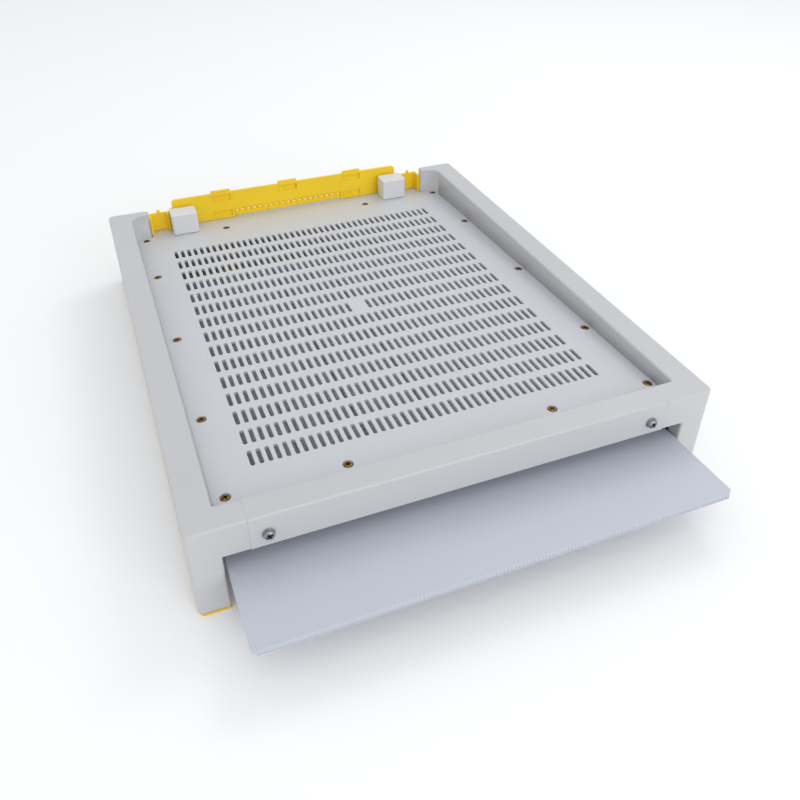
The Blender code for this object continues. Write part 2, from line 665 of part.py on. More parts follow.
def main():
    recess, tunnel, doorway = frame_cutters()
    hole_radius = SCREW_SHANK_RADIUS + SCREW_HOLE_CLEARANCE
    holes = screw_hole_cutter("floor_screw_holes", hole_radius, -DISH_DEPTH - SCREW_LENGTH - 1 * MM)
    dishes = screw_hole_cutter("floor_screw_dishes", DISH_RADIUS, -DISH_DEPTH, sides=14)
    side_frame(-1, recess, tunnel, holes)
    side_frame(1, recess, tunnel, holes)
    rear_rail(recess, tunnel, holes)
    entrance_sill(doorway, holes)
    base_covers()
    screen_floor(holes, dishes)
    floor_screws()
    rail_fasteners()
    tray_runners()
    tray()
    gate_guides()
    gate_blocks()
    entrance_gate()
    shade_round_pieces()
    stand_at_origin()


main()
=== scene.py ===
"""Ventilated floor of a beehive: surfaces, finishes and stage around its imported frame.

Shapes are worked out in millimetres on the hive floor's own axes: x across, y from the
middle of the frame towards the bees' entrance, z up from the ground. put_piece moves them
into the frame's metres. "On the sheet" means the axes of the sloping floor: its top is
z = 0 there, and on_slope turns and lifts a shape from it.
"""
import json
import math

import bmesh
import bpy
import numpy as np
from bpy.props import FloatProperty, FloatVectorProperty, IntProperty, PointerProperty
from mathutils import Euler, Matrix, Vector


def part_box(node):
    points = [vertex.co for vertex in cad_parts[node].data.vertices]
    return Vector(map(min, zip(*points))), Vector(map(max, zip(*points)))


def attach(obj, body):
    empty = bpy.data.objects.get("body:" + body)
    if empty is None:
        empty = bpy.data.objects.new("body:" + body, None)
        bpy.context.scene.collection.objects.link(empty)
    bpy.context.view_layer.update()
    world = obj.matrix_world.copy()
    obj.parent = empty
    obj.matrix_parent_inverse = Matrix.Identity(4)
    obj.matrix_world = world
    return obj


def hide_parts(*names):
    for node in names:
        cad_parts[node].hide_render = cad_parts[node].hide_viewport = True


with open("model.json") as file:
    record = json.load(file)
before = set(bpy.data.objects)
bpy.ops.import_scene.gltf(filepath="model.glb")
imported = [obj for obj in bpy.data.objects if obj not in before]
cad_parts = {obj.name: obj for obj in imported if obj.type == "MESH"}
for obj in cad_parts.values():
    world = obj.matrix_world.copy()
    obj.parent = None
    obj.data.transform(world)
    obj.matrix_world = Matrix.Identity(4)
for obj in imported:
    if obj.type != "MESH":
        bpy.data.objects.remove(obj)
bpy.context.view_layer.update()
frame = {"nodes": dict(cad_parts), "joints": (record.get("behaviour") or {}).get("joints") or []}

bl_info = {
    "name": "Ventilated Hive Floor",
    "version": (1, 0, 0),
    "blender": (4, 5, 0),
    "location": "3D View > Sidebar > Hive Floor",
    "description": "Builds the surfaces and finishes of a ventilated beehive floor around its solid frame",
    "category": "Add Mesh",
}

MM = 0.001
HIVE_FRAME, TRAY_BODY, GATE_BODY = "hive_frame", "tray", "gate"


# ---------------------------------------------------------------- measures from the frame

MID_Y = sum(corner.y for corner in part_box("side_frame_left")) / 2


def span(node):
    """Lowest and highest corner of a frame node, in millimetres from mid-frame."""
    low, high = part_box(node)
    shift = np.array((0.0, MID_Y, 0.0))
    return (np.array(low) - shift) / MM, (np.array(high) - shift) / MM


def slope_of_tray():
    """Slope of floor and tray, from the direction in which the tray slides out."""
    for joint in frame["joints"]:
        if joint["child"] == TRAY_BODY:
            return math.atan2(joint["axis"][2], -joint["axis"][1])
    raise RuntimeError("the frame has no joint for the tray")


SLOPE = slope_of_tray()
HALF_WIDTH, HALF_LENGTH, RIM_TOP = span("side_frame_right")[1]
RETURN_X, FOOT = span("side_frame_right")[0][0], span("side_frame_right")[0][2]
SHEET_LOW, SHEET_HIGH = span("screen_floor")
SHEET_X = SHEET_HIGH[0]
FIT = 0.3                                     # play between pieces
WALL_X = SHEET_X + FIT                        # inner face of the side members
RAIL_BACK = SHEET_LOW[1] - FIT                # inner face of the rear rail
SHEET_MID_Z = SHEET_HIGH[2] + SHEET_LOW[1] * math.sin(SLOPE)
LIP_END = SHEET_HIGH[1] / math.cos(SLOPE)
SILL_BACK = span("entrance_sill")[0][1]
SHEET = 3.0                                   # thickness of the sloping sheet
LEDGE = 12.0                                  # depth of the ledges under its edges
RETURN_WALL = 10.5                            # corner return above the sheet


def sheet_z(y, below=0.0):
    """Height of the sheet's top at y: the mid height less y times the slope's tangent."""
    return SHEET_MID_Z - y * math.tan(SLOPE) - below / math.cos(SLOPE)


def on_slope(points):
    """Turns points about X by the slope and lifts them to the sheet's mid height."""
    x, y, z = np.moveaxis(np.asarray(points, float), -1, 0)
    c, s = math.cos(SLOPE), math.sin(SLOPE)
    return np.stack((x, y * c + z * s, SHEET_MID_Z - y * s + z * c), axis=-1)


# ---------------------------------------------------------------- what a user would change

def length(name, description, millimetres):
    return FloatProperty(
        name=name, description=description, default=millimetres * MM, unit="LENGTH", min=0.0, precision=5,
    )


def colour(name, description, red, green, blue):
    return FloatVectorProperty(
        name=name, description=description, default=(red, green, blue), subtype="COLOR", size=3, min=0.0, max=1.0,
    )


def power(name, description, watts):
    return FloatProperty(name=name, description=description, default=watts, min=0.0, unit="POWER")


class HiveFloorSizes(bpy.types.PropertyGroup):
    """Sizes of the details that the solid frame leaves out"""

    slot_width: length("Slot width", "Clear width of a ventilation slot", 3.5)
    slot_length: length("Slot length", "Clear length of a ventilation slot", 18.0)
    slot_step_x: length("Slot step across", "From one slot to the next across the hive", 7.0)
    slot_step_y: length("Slot step along", "From one row of slots to the next", 26.0)
    slots_middle: length("Middle of the slots", "How far the slot field's middle lies from mid-frame", 4.0)
    slot_columns: IntProperty(name="Slot columns", description="Slots across the hive", default=44, min=2)
    slot_rows: IntProperty(name="Slot rows", description="Rows of slots along the hive", default=15, min=1)
    rim_round: length("Rim rounding", "Rounding of the frame's long edges", 1.9)
    small_round: length("Small rounding", "Rounding of the small moulded edges", 0.6)
    dish: length("Screw dish", "Depth of the dishes that take the floor screws' heads", 1.6)
    flute: length("Flute pitch", "From one flute of the tray's sheet to the next", 3.0)
    flute_skin: length("Flute skin", "Thickness of the tray sheet's skins", 0.6)


class HiveFloorColours(bpy.types.PropertyGroup):
    """Colours of the plastics, the metals and the ground"""

    body: colour("Frame white", "Moulded plastic of the frame", 0.535, 0.54, 0.552)
    block: colour("Block white", "Moulded plastic of the two blocks", 0.70, 0.705, 0.715)
    sheet: colour("Floor white", "Moulded plastic of the slotted floor", 0.59, 0.60, 0.62)
    tray: colour("Tray white", "Twin-wall sheet of the tray", 0.53, 0.555, 0.62)
    runner: colour("Runner white", "Plastic of the tray runners", 0.62, 0.62, 0.63)
    gate: colour("Gate yellow", "Moulded plastic of the gate and its guides", 0.93, 0.64, 0.012)
    base: colour("Base yellow", "Plastic of the base covers", 0.80, 0.53, 0.03)
    brass: colour("Screw brass", "Yellow plating of the floor screws", 0.34, 0.19, 0.08)
    zinc: colour("Screw zinc", "Bright plating of the rail screws", 0.36, 0.38, 0.40)
    ground: colour("Ground", "Pale ground under the hive floor", 0.98, 0.98, 0.98)


class HiveFloorStage(bpy.types.PropertyGroup):
    """Camera, light and ground"""

    lens: FloatProperty(
        name="Lens", description="Focal length on a 36 mm sensor", default=35.63 * MM, unit="CAMERA", min=0.001,
    )
    key: power("Key light", "Power of the soft light behind the right side", 5.5)
    fill: power("Fill light", "Power of the broad light overhead", 5.0)
    front: power("Front light", "Power of the low light before the tray", 15.0)
    sky: FloatProperty(name="Sky", description="Strength of the even light from all round", default=0.84, min=0.0)


def sizes():
    return bpy.context.scene.hive_floor_sizes


def colours():
    return bpy.context.scene.hive_floor_colours


def mm(value):
    return value / MM


# ---------------------------------------------------------------- surfaces

class Shell:
    """Points and faces gathered for one piece."""

    def __init__(self):
        self.points = []
        self.faces = []
        self.count = 0

    def add(self, points, *face_sets):
        points = np.asarray(points, float).reshape(-1, 3)
        for faces in face_sets:
            if isinstance(faces, np.ndarray):
                self.faces.extend((faces + self.count).tolist())
            else:
                self.faces.extend([[corner + self.count for corner in face] for face in faces])
        self.points.append(points)
        self.count += len(points)
        return self


def carried(shell, loops, caps=(True, True)):
    """Carries an outline along a path.

    loops[i, j] is corner j of the outline at station i. Each quad joins two neighbouring
    corners at two neighbouring stations, and a flat face closes either end.
    """
    loops = np.asarray(loops, float)
    stations, corners = loops.shape[:2]
    index = np.arange(stations * corners).reshape(stations, corners)
    here, there = index[:-1], index[1:]
    quads = np.stack((here, np.roll(here, -1, 1), np.roll(there, -1, 1), there), axis=-1).reshape(-1, 4)
    ends = []
    if caps[0]:
        ends.append(index[0][::-1].tolist())
    if caps[1]:
        ends.append(index[-1].tolist())
    shell.add(loops, quads, ends)


def bar(shell, outline, start, stop, axis, place=None):
    """Carries a flat outline straight along one axis, from start to stop.

    The outline's two numbers are y, z for axis 0; x, z for axis 1; and x, y for axis 2.
    """
    outline = np.asarray(outline, float)
    loops = np.insert(np.stack((outline, outline)), axis, 0.0, axis=-1)
    loops[0, :, axis] = start
    loops[1, :, axis] = stop
    carried(shell, loops if place is None else place(loops))


def prism(shell, plan, foot, top):
    """Raises a plan outline from foot(x, y) to top(x, y), which may also be plain heights."""
    plan = np.asarray(plan, float)
    loops = []
    for height in (foot, top):
        z = height(plan[:, 0], plan[:, 1]) if callable(height) else np.full(len(plan), float(height))
        loops.append(np.column_stack((plan, z)))
    carried(shell, loops)


def raised(plan, foot, top):
    """A shell of one prism."""
    shell = Shell()
    prism(shell, plan, foot, top)
    return shell


def arc(centre, radius, start, stop, steps):
    """Points on a circle's arc: centre plus radius times (cosine, sine), angles in degrees."""
    turn = np.radians(np.linspace(start, stop, steps + 1))
    return np.column_stack((centre[0] + radius * np.cos(turn), centre[1] + radius * np.sin(turn)))


def line(start, stop, steps):
    """Evenly spaced points from start to stop."""
    share = np.linspace(0.0, 1.0, steps + 1)[:, None]
    return (1 - share) * np.asarray(start, float) + share * np.asarray(stop, float)


def rounded_rectangle(low, high, radius, steps=5):
    """Outline of a rectangle whose corners are quarter circles."""
    corners = ((high[0], high[1], 0), (low[0], high[1], 90), (low[0], low[1], 180), (high[0], low[1], 270))
    parts = []
    for x, y, turn in corners:
        middle = (
            x - math.copysign(radius, x - (low[0] + high[0]) / 2),
            y - math.copysign(radius, y - (low[1] + high[1]) / 2),
        )
        parts.append(arc(middle, radius, turn, turn + 90, steps))
    return np.concatenate(parts)


def terraces(shell, x_lines, y_lines, top, bottom, skip=None, place=None):
    """A plate on a grid of lines, with its own top and bottom height in every cell.

    Height is not-a-number where there is nothing. Where two neighbours differ an upright
    face joins them: it looks to +x or +y where the solid ends, and the other way where it
    starts. Cells in skip get no top or bottom, for another surface to fill.
    """
    x_lines, y_lines = np.asarray(x_lines, float), np.asarray(y_lines, float)
    solid = ~np.isnan(top)
    shown = solid if skip is None else solid & ~skip
    x_low, y_low = np.meshgrid(x_lines[:-1], y_lines[:-1], indexing="ij")
    x_high, y_high = np.meshgrid(x_lines[1:], y_lines[1:], indexing="ij")

    def quads(a, b, c, d):
        corners = np.stack(
            [np.stack(np.broadcast_arrays(*corner), axis=-1) for corner in (a, b, c, d)], axis=-2,
        )
        points = corners.reshape(-1, 3)
        shell.add(points if place is None else place(points), np.arange(len(points)).reshape(-1, 4))

    xl, yl, xh, yh = x_low[shown], y_low[shown], x_high[shown], y_high[shown]
    t, b = top[shown], bottom[shown]
    quads((xl, yl, t), (xh, yl, t), (xh, yh, t), (xl, yh, t))
    quads((xl, yl, b), (xl, yh, b), (xh, yh, b), (xh, yl, b))

    def walls(first, second, low_line, high_line, upright):
        """Upright faces between each cell and the next one, over the heights only one has."""
        for solid_side, other, looks_on in ((first, second, True), (second, first, False)):
            t_here, b_here = solid_side
            t_there, b_there = other
            gone = np.isnan(t_there) & ~np.isnan(t_here)
            both = ~np.isnan(t_there) & ~np.isnan(t_here)
            for chosen, low, high in (
                (gone, b_here, t_here),
                (both & (t_here > t_there + 1e-6), np.fmax(b_here, t_there), t_here),
                (both & (b_here < b_there - 1e-6), b_here, np.fmin(t_here, b_there)),
            ):
                if not chosen.any():
                    continue
                z0, z1, at = low[chosen], high[chosen], upright[chosen]
                s0, s1 = low_line[chosen], high_line[chosen]
                if not looks_on:
                    s0, s1 = s1, s0
                yield at, s0, s1, z0, z1

    nothing_x = np.full((1, top.shape[1]), np.nan)
    nothing_y = np.full((top.shape[0], 1), np.nan)
    tops, bottoms = np.vstack((nothing_x, top, nothing_x)), np.vstack((nothing_x, bottom, nothing_x))
    rows = len(x_lines)
    at = np.repeat(x_lines[:, None], top.shape[1], 1)
    s_low, s_high = np.tile(y_lines[:-1], (rows, 1)), np.tile(y_lines[1:], (rows, 1))
    before, after = (tops[:-1], bottoms[:-1]), (tops[1:], bottoms[1:])
    for at_x, s0, s1, z0, z1 in walls(before, after, s_low, s_high, at):
        quads((at_x, s0, z0), (at_x, s1, z0), (at_x, s1, z1), (at_x, s0, z1))
    tops, bottoms = np.hstack((nothing_y, top, nothing_y)), np.hstack((nothing_y, bottom, nothing_y))
    columns = len(y_lines)
    at = np.repeat(y_lines[None, :], top.shape[0], 0)
    s_low, s_high = np.tile(x_lines[:-1, None], (1, columns)), np.tile(x_lines[1:, None], (1, columns))
    before, after = (tops[:, :-1], bottoms[:, :-1]), (tops[:, 1:], bottoms[:, 1:])
    for at_y, s0, s1, z0, z1 in walls(before, after, s_low, s_high, at):
        quads((s1, at_y, z0), (s0, at_y, z0), (s0, at_y, z1), (s1, at_y, z1))


def ringed(shell, stages, place=None):
    """Quads between successive outlines with matching corners: stages[s][m, j] is corner j
    of outline s of opening m."""
    grid = np.stack(stages)
    steps, openings, corners = grid.shape[:3]
    index = np.arange(steps * openings * corners).reshape(steps, openings, corners)
    here, inner = index[:-1], index[1:]
    quads = np.stack((here, np.roll(here, -1, 2), np.roll(inner, -1, 2), inner), axis=-1).reshape(-1, 4)
    points = grid.reshape(-1, 3)
    shell.add(points if place is None else place(points), quads)


def stitched(outer, inner):
    """Triangles between an outer outline and an inner one with other corners.

    Both run anticlockwise round the inner one's middle. Each outer side goes with the
    last inner corner before its end, by angle, and each inner side with the last outer one.
    """
    middle = inner.mean(0)
    angles, orders = [], []
    for loop in (outer, inner):
        turn = np.arctan2(loop[:, 1] - middle[1], loop[:, 0] - middle[0])
        order = np.argsort(turn)
        orders.append(order)
        angles.append(turn[order])
    (a, b), (out, ins) = angles, orders
    a_next, b_next = np.append(a[1:], a[0] + 2 * np.pi), np.append(b[1:], b[0] + 2 * np.pi)
    near_inner = (np.searchsorted(np.append(b, b + 2 * np.pi), a_next, side="right") - 1) % len(b)
    near_outer = (np.searchsorted(np.append(a, a + 2 * np.pi), b_next, side="left") - 1) % len(a)
    first = np.column_stack((out, np.roll(out, -1), len(outer) + ins[near_inner]))
    second = np.column_stack((len(outer) + np.roll(ins, -1), len(outer) + ins, out[near_outer]))
    return np.vstack((first, second))


def rim_points(x_lines, y_lines):
    """Corners round a block of grid cells, anticlockwise."""
    x_lines, y_lines = np.asarray(x_lines, float), np.asarray(y_lines, float)
    return np.concatenate((
        np.column_stack((x_lines[:-1], np.full(len(x_lines) - 1, y_lines[0]))),
        np.column_stack((np.full(len(y_lines) - 1, x_lines[-1]), y_lines[:-1])),
        np.column_stack((x_lines[:0:-1], np.full(len(x_lines) - 1, y_lines[-1]))),
        np.column_stack((np.full(len(y_lines) - 1, x_lines[0]), y_lines[:0:-1])),
    ))


def at_height(loop, z):
    """A flat outline set at height z."""
    return np.concatenate((loop, np.full(loop.shape[:-1] + (1,), float(z))), axis=-1)


# ---------------------------------------------------------------- pieces

def edge_turns(mesh):
    """Angle between the two faces at each edge, and 0 where there are not exactly two."""
    loop_edge = np.empty(len(mesh.loops), np.int64)
    mesh.loops.foreach_get("edge_index", loop_edge)
    sides = np.empty(len(mesh.polygons), np.int64)
    mesh.polygons.foreach_get("loop_total", sides)
    normals = np.empty(len(mesh.polygons) * 3)
    mesh.polygons.foreach_get("normal", normals)
    normals = normals.reshape(-1, 3)
    face = np.repeat(np.arange(len(sides)), sides)[np.argsort(loop_edge, kind="stable")]
    counts = np.bincount(loop_edge, minlength=len(mesh.edges))
    first = np.cumsum(counts) - counts
    turns = np.zeros(len(mesh.edges))
    pair = counts == 2
    a, b = normals[face[first[pair]]], normals[face[first[pair] + 1]]
    turns[pair] = np.arccos(np.clip((a * b).sum(1), -1, 1))
    return turns


WELD, SLIVER = 0.004 * MM, 0.002 * MM         # points this close become one; edges this short go
ROUNDED_TURN = math.radians(30)               # edges that turn more than this are rounded


def put_piece(
    name, shell, finish, body, nodes, edge=0.0, steps=3, share=None, outward=True, sharp=40, values=None,
):
    """Makes the piece that stands for the frame's nodes, and lets it ride on their body.

    edge rounds every edge that turns more than ROUNDED_TURN; share(x, y, z) gives the part
    of that rounding at the middle of an edge. Without edge, edges over sharp degrees stay crisp.
    """
    mesh = bpy.data.meshes.new(name)
    middle_of_frame = np.array((0.0, MID_Y, 0.0))
    points = np.concatenate(shell.points) * MM + middle_of_frame
    mesh.from_pydata(points.tolist(), [], shell.faces)
    if values is not None:
        depths = mesh.attributes.new("depth", "FLOAT", "POINT")
        depths.data.foreach_set("value", np.asarray(values, np.float32))
    work = bmesh.new()
    work.from_mesh(mesh)
    bmesh.ops.remove_doubles(work, verts=work.verts, dist=WELD)
    bmesh.ops.dissolve_degenerate(work, edges=work.edges, dist=SLIVER)
    if outward:
        bmesh.ops.recalc_face_normals(work, faces=work.faces)
    work.to_mesh(mesh)
    work.free()
    mesh.shade_smooth()
    piece = bpy.data.objects.new(name, mesh)
    bpy.context.scene.collection.objects.link(piece)
    if edge > 0:
        turns = edge_turns(mesh)
        ends = np.empty(len(mesh.edges) * 2, np.int64)
        mesh.edges.foreach_get("vertices", ends)
        places = np.empty(len(mesh.vertices) * 3)
        mesh.vertices.foreach_get("co", places)
        middle = (places.reshape(-1, 3)[ends.reshape(-1, 2)].mean(1) - middle_of_frame) / MM
        weight = np.where(turns > ROUNDED_TURN, 1.0, 0.0)
        if share is not None:
            weight *= share(*middle.T)
        weights = mesh.attributes.new("bevel_weight_edge", "FLOAT", "EDGE")
        weights.data.foreach_set("value", weight.astype(np.float32))
        rounding = piece.modifiers.new("rounded edges", "BEVEL")
        rounding.limit_method = "WEIGHT"
        rounding.width = edge * MM
        rounding.segments = steps
        rounding.use_clamp_overlap = False
        rounding.harden_normals = True
    else:
        mesh.set_sharp_from_angle(angle=math.radians(sharp))
        flat = piece.modifiers.new("even flats", "WEIGHTED_NORMAL")
        flat.keep_sharp = True
    mesh.materials.append(finish)
    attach(piece, body)
    if nodes:
        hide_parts(*nodes)
    return piece


# ---------------------------------------------------------------- finishes

def node(tree, kind, inputs=None, **settings):
    """Adds a node, sets it up, and links or fills its inputs."""
    made = tree.nodes.new(kind)
    for key, value in settings.items():
        setattr(made, key, value)
    for key, value in (inputs or {}).items():
        if isinstance(value, bpy.types.NodeSocket):
            tree.links.new(value, made.inputs[key])
        else:
            made.inputs[key].default_value = value
    return made


def sums(tree, operation, *values):
    """A math node's result."""
    return node(tree, "ShaderNodeMath", dict(enumerate(values)), operation=operation).outputs[0]


def noise(tree, place, scale, **settings):
    """A noise texture's factor; settings are its inputs by name."""
    return node(tree, "ShaderNodeTexNoise", {"Vector": place, "Scale": scale, **settings}).outputs["Fac"]


def ramped(tree, value, low, high, **settings):
    """value stretched so that low becomes 0 and high becomes 1."""
    inputs = {"Value": value, "From Min": low, "From Max": high}
    return node(tree, "ShaderNodeMapRange", inputs, **settings).outputs["Result"]


def blend(tree, share, first, second):
    """The colour between first and second."""
    return node(tree, "ShaderNodeMix", {0: share, 6: first, 7: second}, data_type="RGBA").outputs[2]


def object_place(tree):
    return node(tree, "ShaderNodeTexCoord").outputs["Object"]


def bumped(tree, shader, height, strength, distance):
    """Links a bump of this height to the shader's normal."""
    relief = node(tree, "ShaderNodeBump", {"Height": height, "Strength": strength, "Distance": distance * MM})
    tree.links.new(relief.outputs["Normal"], shader.inputs["Normal"])


def filled(tree, group, values):
    """A group node with these values in its inputs."""
    made = node(tree, "ShaderNodeGroup", {}, node_tree=group)
    for key, value in values.items():
        made.inputs[key].default_value = value
    return made


def new_group(name, inputs, outputs):
    """An empty shader node group with its sockets, and its input and output nodes."""
    tree = bpy.data.node_groups.new(name, "ShaderNodeTree")
    for label, kind in inputs:
        tree.interface.new_socket(label, in_out="INPUT", socket_type=kind)
    for label, kind in outputs:
        tree.interface.new_socket(label, in_out="OUTPUT", socket_type=kind)
    return tree, tree.nodes.new("NodeGroupInput").outputs, tree.nodes.new("NodeGroupOutput").inputs


def moulded_surface():
    """Moulded plastic: broad soft blotches in colour and gloss, over a fine grain."""
    if "Moulded surface" in bpy.data.node_groups:
        return bpy.data.node_groups["Moulded surface"]
    tree, given, out = new_group(
        "Moulded surface",
        (("Colour", "NodeSocketColor"), ("Tint", "NodeSocketColor"), ("Amount", "NodeSocketFloat"),
         ("Blotches", "NodeSocketFloat"), ("Grain", "NodeSocketFloat"),
         ("Roughness", "NodeSocketFloat"), ("Spread", "NodeSocketFloat")),
        (("Colour", "NodeSocketColor"), ("Roughness", "NodeSocketFloat"), ("Height", "NodeSocketFloat")),
    )
    place = object_place(tree)
    broad = noise(tree, place, given["Blotches"], Detail=3.0, Roughness=0.55)
    fine = noise(tree, place, given["Grain"], Detail=2.0, Roughness=0.6)
    soft = ramped(tree, broad, 0.32, 0.68)
    share = sums(tree, "MULTIPLY", soft, given["Amount"])
    both = sums(tree, "MULTIPLY_ADD", soft, 0.6, sums(tree, "SUBTRACT", fine, 0.5))
    rough = sums(tree, "MULTIPLY_ADD", both, given["Spread"], given["Roughness"])
    tree.links.new(blend(tree, share, given["Colour"], given["Tint"]), out["Colour"])
    tree.links.new(rough, out["Roughness"])
    tree.links.new(fine, out["Height"])
    return tree


def settled_dust():
    """Faint dust where a surface looks up, in drifting patches."""
    if "Settled dust" in bpy.data.node_groups:
        return bpy.data.node_groups["Settled dust"]
    tree, given, out = new_group(
        "Settled dust",
        (("Colour", "NodeSocketColor"), ("Dust", "NodeSocketColor"),
         ("Amount", "NodeSocketFloat"), ("Size", "NodeSocketFloat")),
        (("Colour", "NodeSocketColor"),),
    )
    facing = node(tree, "ShaderNodeSeparateXYZ", {0: node(tree, "ShaderNodeNewGeometry").outputs["Normal"]})
    up = ramped(tree, facing.outputs["Z"], 0.35, 0.95)
    clouds = noise(tree, object_place(tree), given["Size"], Detail=5.0, Roughness=0.65)
    patches = ramped(tree, clouds, 0.42, 0.75)
    mask = sums(tree, "MULTIPLY", sums(tree, "MULTIPLY", up, patches), given["Amount"])
    tree.links.new(blend(tree, mask, given["Colour"], given["Dust"]), out["Colour"])
    return tree


def plated_metal():
    """Plated steel: cloudy plating, painted shade in the driver recess, fine scratches."""
    if "Plated metal" in bpy.data.node_groups:
        return bpy.data.node_groups["Plated metal"]
    tree, given, out = new_group(
        "Plated metal",
        (("Colour", "NodeSocketColor"), ("Cloud", "NodeSocketColor"), ("Grime", "NodeSocketColor"),
         ("Recess", "NodeSocketFloat"), ("Roughness", "NodeSocketFloat")),
        (("Colour", "NodeSocketColor"), ("Roughness", "NodeSocketFloat"), ("Height", "NodeSocketFloat")),
    )
    place = object_place(tree)
    clouds = ramped(tree, noise(tree, place, 420.0, Detail=4.0), 0.35, 0.65)
    scratch = noise(tree, place, 2600.0, Detail=2.0)
    plated = blend(tree, clouds, given["Colour"], given["Cloud"])
    # The deep part of the driver recess is blended towards a near-black colour: painted shade.
    tree.links.new(blend(tree, given["Recess"], plated, given["Grime"]), out["Colour"])
    tree.links.new(sums(tree, "MULTIPLY_ADD", scratch, 0.25, given["Roughness"]), out["Roughness"])
    tree.links.new(scratch, out["Height"])
    return tree


def started_material(name):
    material = bpy.data.materials.new(name)
    material.use_nodes = True
    return material, material.node_tree, material.node_tree.nodes["Principled BSDF"]


def plastic(kind, name, shares, roughness, blotches=9.0, grain=1400.0, bump=0.06, dust=0.15, coat=0.0):
    """Moulded plastic with settled dust; shares are the tint's parts of the base colour."""
    if name in bpy.data.materials:
        return bpy.data.materials[name]
    material, tree, shader = started_material(name)
    base = tuple(getattr(colours(), kind))
    tint = tuple(channel * share for channel, share in zip(base, shares))
    skin = filled(tree, moulded_surface(), {
        "Colour": (*base, 1), "Tint": (*tint, 1), "Amount": 0.5, "Blotches": blotches,
        "Grain": grain, "Roughness": roughness, "Spread": 0.12,
    })
    dusty = filled(tree, settled_dust(), {
        "Dust": tuple(0.92 * channel for channel in tint) + (1,), "Amount": dust, "Size": 26.0,
    })
    tree.links.new(skin.outputs["Colour"], dusty.inputs["Colour"])
    tree.links.new(dusty.outputs["Colour"], shader.inputs["Base Color"])
    tree.links.new(skin.outputs["Roughness"], shader.inputs["Roughness"])
    bumped(tree, shader, skin.outputs["Height"], bump, 0.1)
    shader.inputs["Coat Weight"].default_value = coat
    shader.inputs["Coat Roughness"].default_value = 0.25
    shader.inputs["Specular IOR Level"].default_value = 0.42
    return material


def frame_white():
    return plastic("body", "Frame white plastic", (0.955,) * 3, 0.36, coat=0.12)


def block_white():
    return plastic("block", "Block white plastic", (0.955,) * 3, 0.36, coat=0.12)


def sheet_white():
    return plastic("sheet", "Floor white plastic", (0.94, 0.955, 0.975), 0.38, blotches=7.0, coat=0.1)


def runner_white():
    return plastic("runner", "Runner white plastic", (0.93,) * 3, 0.5, bump=0.1)


def gate_yellow():
    return plastic("gate", "Gate yellow plastic", (0.93, 0.88, 1), 0.4, blotches=18.0, coat=0.1, dust=0.05)


def base_yellow():
    return plastic("base", "Base yellow plastic", (0.9, 0.86, 1), 0.5, blotches=14.0, dust=0.05)


def fluted_white():
    """Twin-wall sheet: its webs show as fine lines along the sheet, a pitch apart.

    Across the sheet the line's strength is a narrow peak round every web, and the skin
    dips a little between the webs.
    """
    name = "Tray fluted sheet"
    if name in bpy.data.materials:
        return bpy.data.materials[name]
    material, tree, shader = started_material(name)
    base = tuple(colours().tray)
    skin = filled(tree, moulded_surface(), {
        "Colour": (*base, 1), "Tint": (base[0] * 0.95, base[1] * 0.96, base[2] * 0.985, 1), "Amount": 0.6,
        "Blotches": 10.0, "Grain": 900.0, "Roughness": 0.42, "Spread": 0.15,
    })
    across = node(tree, "ShaderNodeSeparateXYZ", {0: object_place(tree)}).outputs["X"]
    part = sums(tree, "FRACT", sums(tree, "MULTIPLY", across, 1.0 / sizes().flute))
    away = sums(tree, "ABSOLUTE", sums(tree, "SUBTRACT", part, 0.5))
    web = ramped(tree, away, 0.33, 0.5, interpolation_type="SMOOTHSTEP")
    line_colour = (base[0] * 0.87, base[1] * 0.885, base[2] * 0.93, 1)
    lined = blend(tree, sums(tree, "MULTIPLY", web, 0.32), skin.outputs["Colour"], line_colour)
    tree.links.new(lined, shader.inputs["Base Color"])
    tree.links.new(skin.outputs["Roughness"], shader.inputs["Roughness"])
    bumped(tree, shader, sums(tree, "MULTIPLY_ADD", skin.outputs["Height"], 0.12, web), 0.35, 0.12)
    shader.inputs["Coat Weight"].default_value = 0.15
    shader.inputs["Coat Roughness"].default_value = 0.3
    return material


def metal(kind, name, shares, grime, roughness):
    """Plated steel whose driver recess gets painted shade by the piece's own depth attribute;
    shares are the clouds' parts of the base colour."""
    if name in bpy.data.materials:
        return bpy.data.materials[name]
    material, tree, shader = started_material(name)
    base = tuple(getattr(colours(), kind))
    recess = node(tree, "ShaderNodeAttribute", {}, attribute_name="depth").outputs["Fac"]
    skin = filled(tree, plated_metal(), {
        "Colour": (*base, 1), "Cloud": (*(channel * share for channel, share in zip(base, shares)), 1),
        "Grime": (*grime, 1), "Roughness": roughness,
    })
    tree.links.new(recess, skin.inputs["Recess"])
    tree.links.new(skin.outputs["Colour"], shader.inputs["Base Color"])
    tree.links.new(skin.outputs["Roughness"], shader.inputs["Roughness"])
    bumped(tree, shader, skin.outputs["Height"], 0.15, 0.05)
    shader.inputs["Metallic"].default_value = 1.0
    return material


def brass():
    # The last colour, nearly black, is painted shade for the driver recess.
    return metal("brass", "Yellow plated steel", (0.55, 0.5, 0.45), (0.03, 0.02, 0.012), 0.3)


def zinc():
    # The last colour, nearly black, is painted shade for the driver recess.
    return metal("zinc", "Bright plated steel", (0.8,) * 3, (0.05, 0.055, 0.06), 0.2)


def ground_white():
    return plastic("ground", "Pale ground", (0.985,) * 3, 0.8, blotches=1.5, grain=300.0, bump=0.0, dust=0.0)


# ---------------------------------------------------------------- shapes of the pieces

CORNER = 4.0                                  # upright outer corners of the frame
REAR_ROUND, FRONT_ROUND = 2.2, 14.0           # inner corners of the recess, in plan
INNER_LEAN = {-1: 2.6, 1: 1.0}                # how far each recess wall leans in at the sheet
UNDER = SHEET + FIT + LEDGE                   # the sheet's top down to the ledges' underside
SEAM = 0.02                                   # play where the rail meets the side members
COVER_INSET = 1.2                             # base covers, inside the frame's outer face


